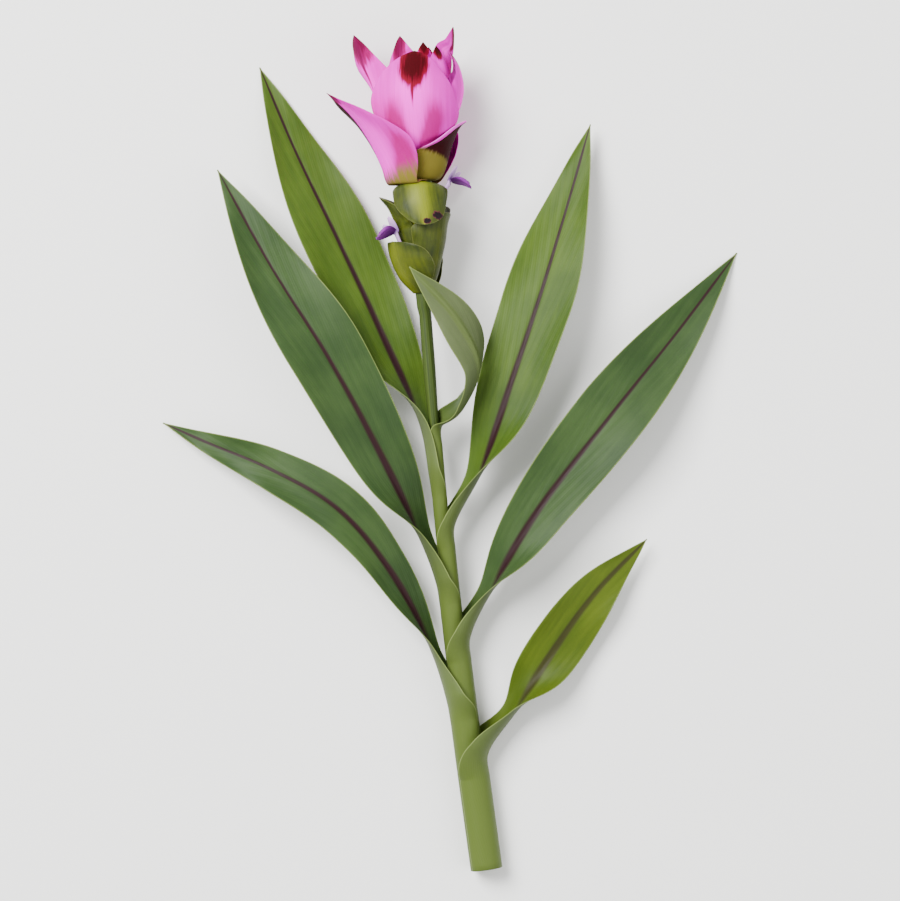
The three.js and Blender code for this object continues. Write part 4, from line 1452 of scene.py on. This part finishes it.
@dataclass(frozen=True)
class Floret:
    """A small flower that comes from the stalk between two bracts.

    Attributes:
        name: Left or right.
        azimuth: Where its throat lies round the bloom.
        facing: Azimuth that it opens to.
        root: Height where its tube leaves the stalk.
        throat: Radius and height of its throat.
        rise: How far it opens upwards.
        roll: How far it is rolled about its own axis.
    """

    name: str
    azimuth: float
    facing: float
    root: float
    throat: tuple[float, float]
    rise: float
    roll: float
    tube_radii: tuple[float, ...] = (0.9, 1.2, 1.9)
    tube_rows: int = 25
    tube_sides: int = 28
    tube_length: float = 12.0
    clear: float = 0.3
    rows: int = 36
    columns: int = 32
    wall: float = 0.45

    def frame(self) -> tuple[np.ndarray, np.ndarray, np.ndarray, np.ndarray]:
        """The throat, and the directions out of the flower, across it and up over it."""
        radius, height = self.throat
        origin = BLOOM.point(np.array(height), np.array(radius), np.array(self.azimuth))
        angle = math.radians(self.facing)
        right = unit(np.cross(BLOOM.forward(), UP))
        radial = right * math.sin(angle) + UP * math.cos(angle)
        lift = math.radians(self.rise)
        out = unit(radial * math.cos(lift) + BLOOM.forward() * math.sin(lift))
        level = unit(np.cross(out, BLOOM.forward()))
        roll = math.radians(self.roll)
        across = level * math.cos(roll) + np.cross(out, level) * math.sin(roll)
        return origin, out, across, np.cross(across, out)

    def petal(self, shape: PetalShape, mirror: float = 1.0) -> Shell:
        """A petal that leaves the throat at a slope, bends along its length and is hollowed across.

        Args:
            shape: The petal's sizes.
            mirror: 1 or -1, the side that it is splayed to.

        Returns:
            The closed petal.
        """
        origin, out, across, over = self.frame()
        u = np.linspace(0, 1, self.rows + 1)[:, None]
        u, v = np.broadcast_arrays(u, np.linspace(-1, 1, self.columns + 1)[None])
        angle = np.radians(shape.slope + shape.bend * u / 2)
        half = np.maximum(shape.narrowest, shape.width / 2 * np.sin(np.pi * (0.12 + 0.8 * u)) ** 0.8)
        wide, fine = shape.frill
        frill = shape.ruffle * u * v * v * (np.cos(v * wide + u * 4) + 0.35 * np.cos(v * fine + u * 5))
        forward = shape.start + shape.length * u * np.cos(angle)
        lift = shape.length * u * np.sin(angle) + shape.hollow * half * v * v + frill
        sideways = mirror * (shape.aside + shape.splay * u) + half * v
        points = origin + forward[..., None] * out + lift[..., None] * over + sideways[..., None] * across
        wall = self.wall / 2 * mix(0.5, 1.0, ease(0, 1.2, half * (1 - np.abs(v))))
        return sheet_shell(points, wall, wall, {"across": half * v, "along": shape.length * u, "glow": u})

    def tube(self) -> Shell:
        """Rings of a circle, from the stalk to the throat, that widen towards the throat."""
        origin, _, across, over = self.frame()
        seat = BLOOM.rachis_radius(self.root) + self.clear + self.tube_radii[0] / 2
        foot = BLOOM.point(np.array(self.root), np.array(seat), np.array(self.azimuth))
        share = np.linspace(0, 1, self.tube_rows)
        radius = np.interp(share, np.linspace(0, 1, len(self.tube_radii)), self.tube_radii)
        angle = np.linspace(0, 2 * np.pi, self.tube_sides, endpoint=False)
        middle = mix(foot, origin, share[:, None])
        spokes = np.cos(angle)[:, None] * across + np.sin(angle)[:, None] * over
        rings = middle[:, None] + radius[:, None, None] * spokes[None]
        values = {
            "across": np.tile(angle * self.tube_radii[-1], (len(share), 1)),
            "along": np.repeat(share[:, None] * self.tube_length, len(angle), 1),
            "glow": np.repeat(share[:, None], len(angle), 1),
        }
        return tube_shell(rings, values)

    def build(self, pale: bpy.types.Material, violet: bpy.types.Material) -> None:
        """The pale tube, side petals and hood as one piece, and the violet lip as another."""
        flower = self.tube()
        for petal in (self.petal(SIDE_PETAL, -1.0), self.petal(SIDE_PETAL, 1.0), self.petal(HOOD)):
            flower = flower.joined(petal)
        name = f"floret_{self.name}"
        make_piece(f"{name}_petals", flower, pale, name)
        make_piece(f"{name}_lip_petal", self.petal(LIP), violet, f"{name}_lip")


FLORETS = (
    Floret("left", 304, 290, 9.5, (16.2, 30.0), 8.0, 30.0),
    Floret("right", 88, 80, 43.0, (14.6, 56.0), 8.0, -20.0),
)


# Studio


@dataclass(frozen=True)
class Lamp:
    """A square soft light that faces the flower, in metres and watts."""

    name: str
    place: tuple[float, float, float]
    size: float
    power: float

    def build(self) -> None:
        """The light at its place, turned to the middle of the floor."""
        data = bpy.data.lights.new(self.name, "AREA")
        data.shape = "SQUARE"
        data.size = self.size
        data.energy = self.power
        lamp = add_object(self.name, data)
        lamp.location = self.place
        lamp.rotation_euler = (-Vector(self.place)).to_track_quat("-Z", "Y").to_euler()


@dataclass(frozen=True)
class Studio:
    """Plain pale floor, soft daylight from above, and a camera that looks straight down."""

    view_height: float = 466.0
    lens: float = 180.0
    sensor: float = 36.0
    floor_size: float = 6.0
    floor_colour: str = "f4f4f2"
    floor_roughness: float = 0.9
    key: Lamp = Lamp("key", (-1.1, 0.9, 1.9), 1.2, 150.0)
    fill: Lamp = Lamp("fill", (1.4, -0.4, 1.6), 1.8, 26.0)
    sky_colour: str = "ffffff"
    sky_strength: float = 0.8

    def camera(self) -> None:
        """A long lens over the middle of the flower, with the bloom at the top of the picture."""
        data = bpy.data.cameras.new("camera")
        data.lens = self.lens
        data.sensor_width = self.sensor
        data.sensor_fit = "HORIZONTAL"
        holder = add_object("camera", data)
        holder.location = (0.0, 0.0, self.view_height * MM * self.lens / self.sensor)
        bpy.context.scene.camera = holder

    def floor(self) -> None:
        """A wide matt board just below the flower."""
        half = self.floor_size / 2
        ends = [(-half, -half, 0), (half, -half, 0), (half, half, 0), (-half, half, 0)]
        mesh = bpy.data.meshes.new("floor")
        mesh.from_pydata(ends, [], [(0, 1, 2, 3)])
        surface = {"Base Color": linear(self.floor_colour), "Roughness": self.floor_roughness}
        mesh.materials.append(Paint("matt white board").end(surface))
        add_object("floor", mesh)

    def lights(self) -> None:
        """A large soft light over the left shoulder, a weaker one opposite, and a pale sky."""
        self.key.build()
        self.fill.build()
        world = bpy.data.worlds.new("sky")
        world.use_nodes = True
        background = world.node_tree.nodes["Background"]
        background.inputs["Color"].default_value = linear(self.sky_colour)
        background.inputs["Strength"].default_value = self.sky_strength
        bpy.context.scene.world = world

    def build(self) -> None:
        """Camera, floor and lights."""
        self.camera()
        self.floor()
        self.lights()


def main() -> None:
    """Builds the studio and the flower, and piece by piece."""
    logging.basicConfig(level=logging.INFO, format="%(message)s")
    Studio().build()
    FlowerStalk().build()
    for leaf in LEAVES:
        leaf.build()
    Bloom().build()
    pale = Petal("white floret petal", light="bf9cca", deep="8c64a4", vein="9c78b2").material()
    violet = Petal("violet floret lip", light="782e86", deep="421050", vein="5a1a66").material()
    for floret in FLORETS:
        floret.build(pale, violet)


if __name__ == "__main__":
    main()
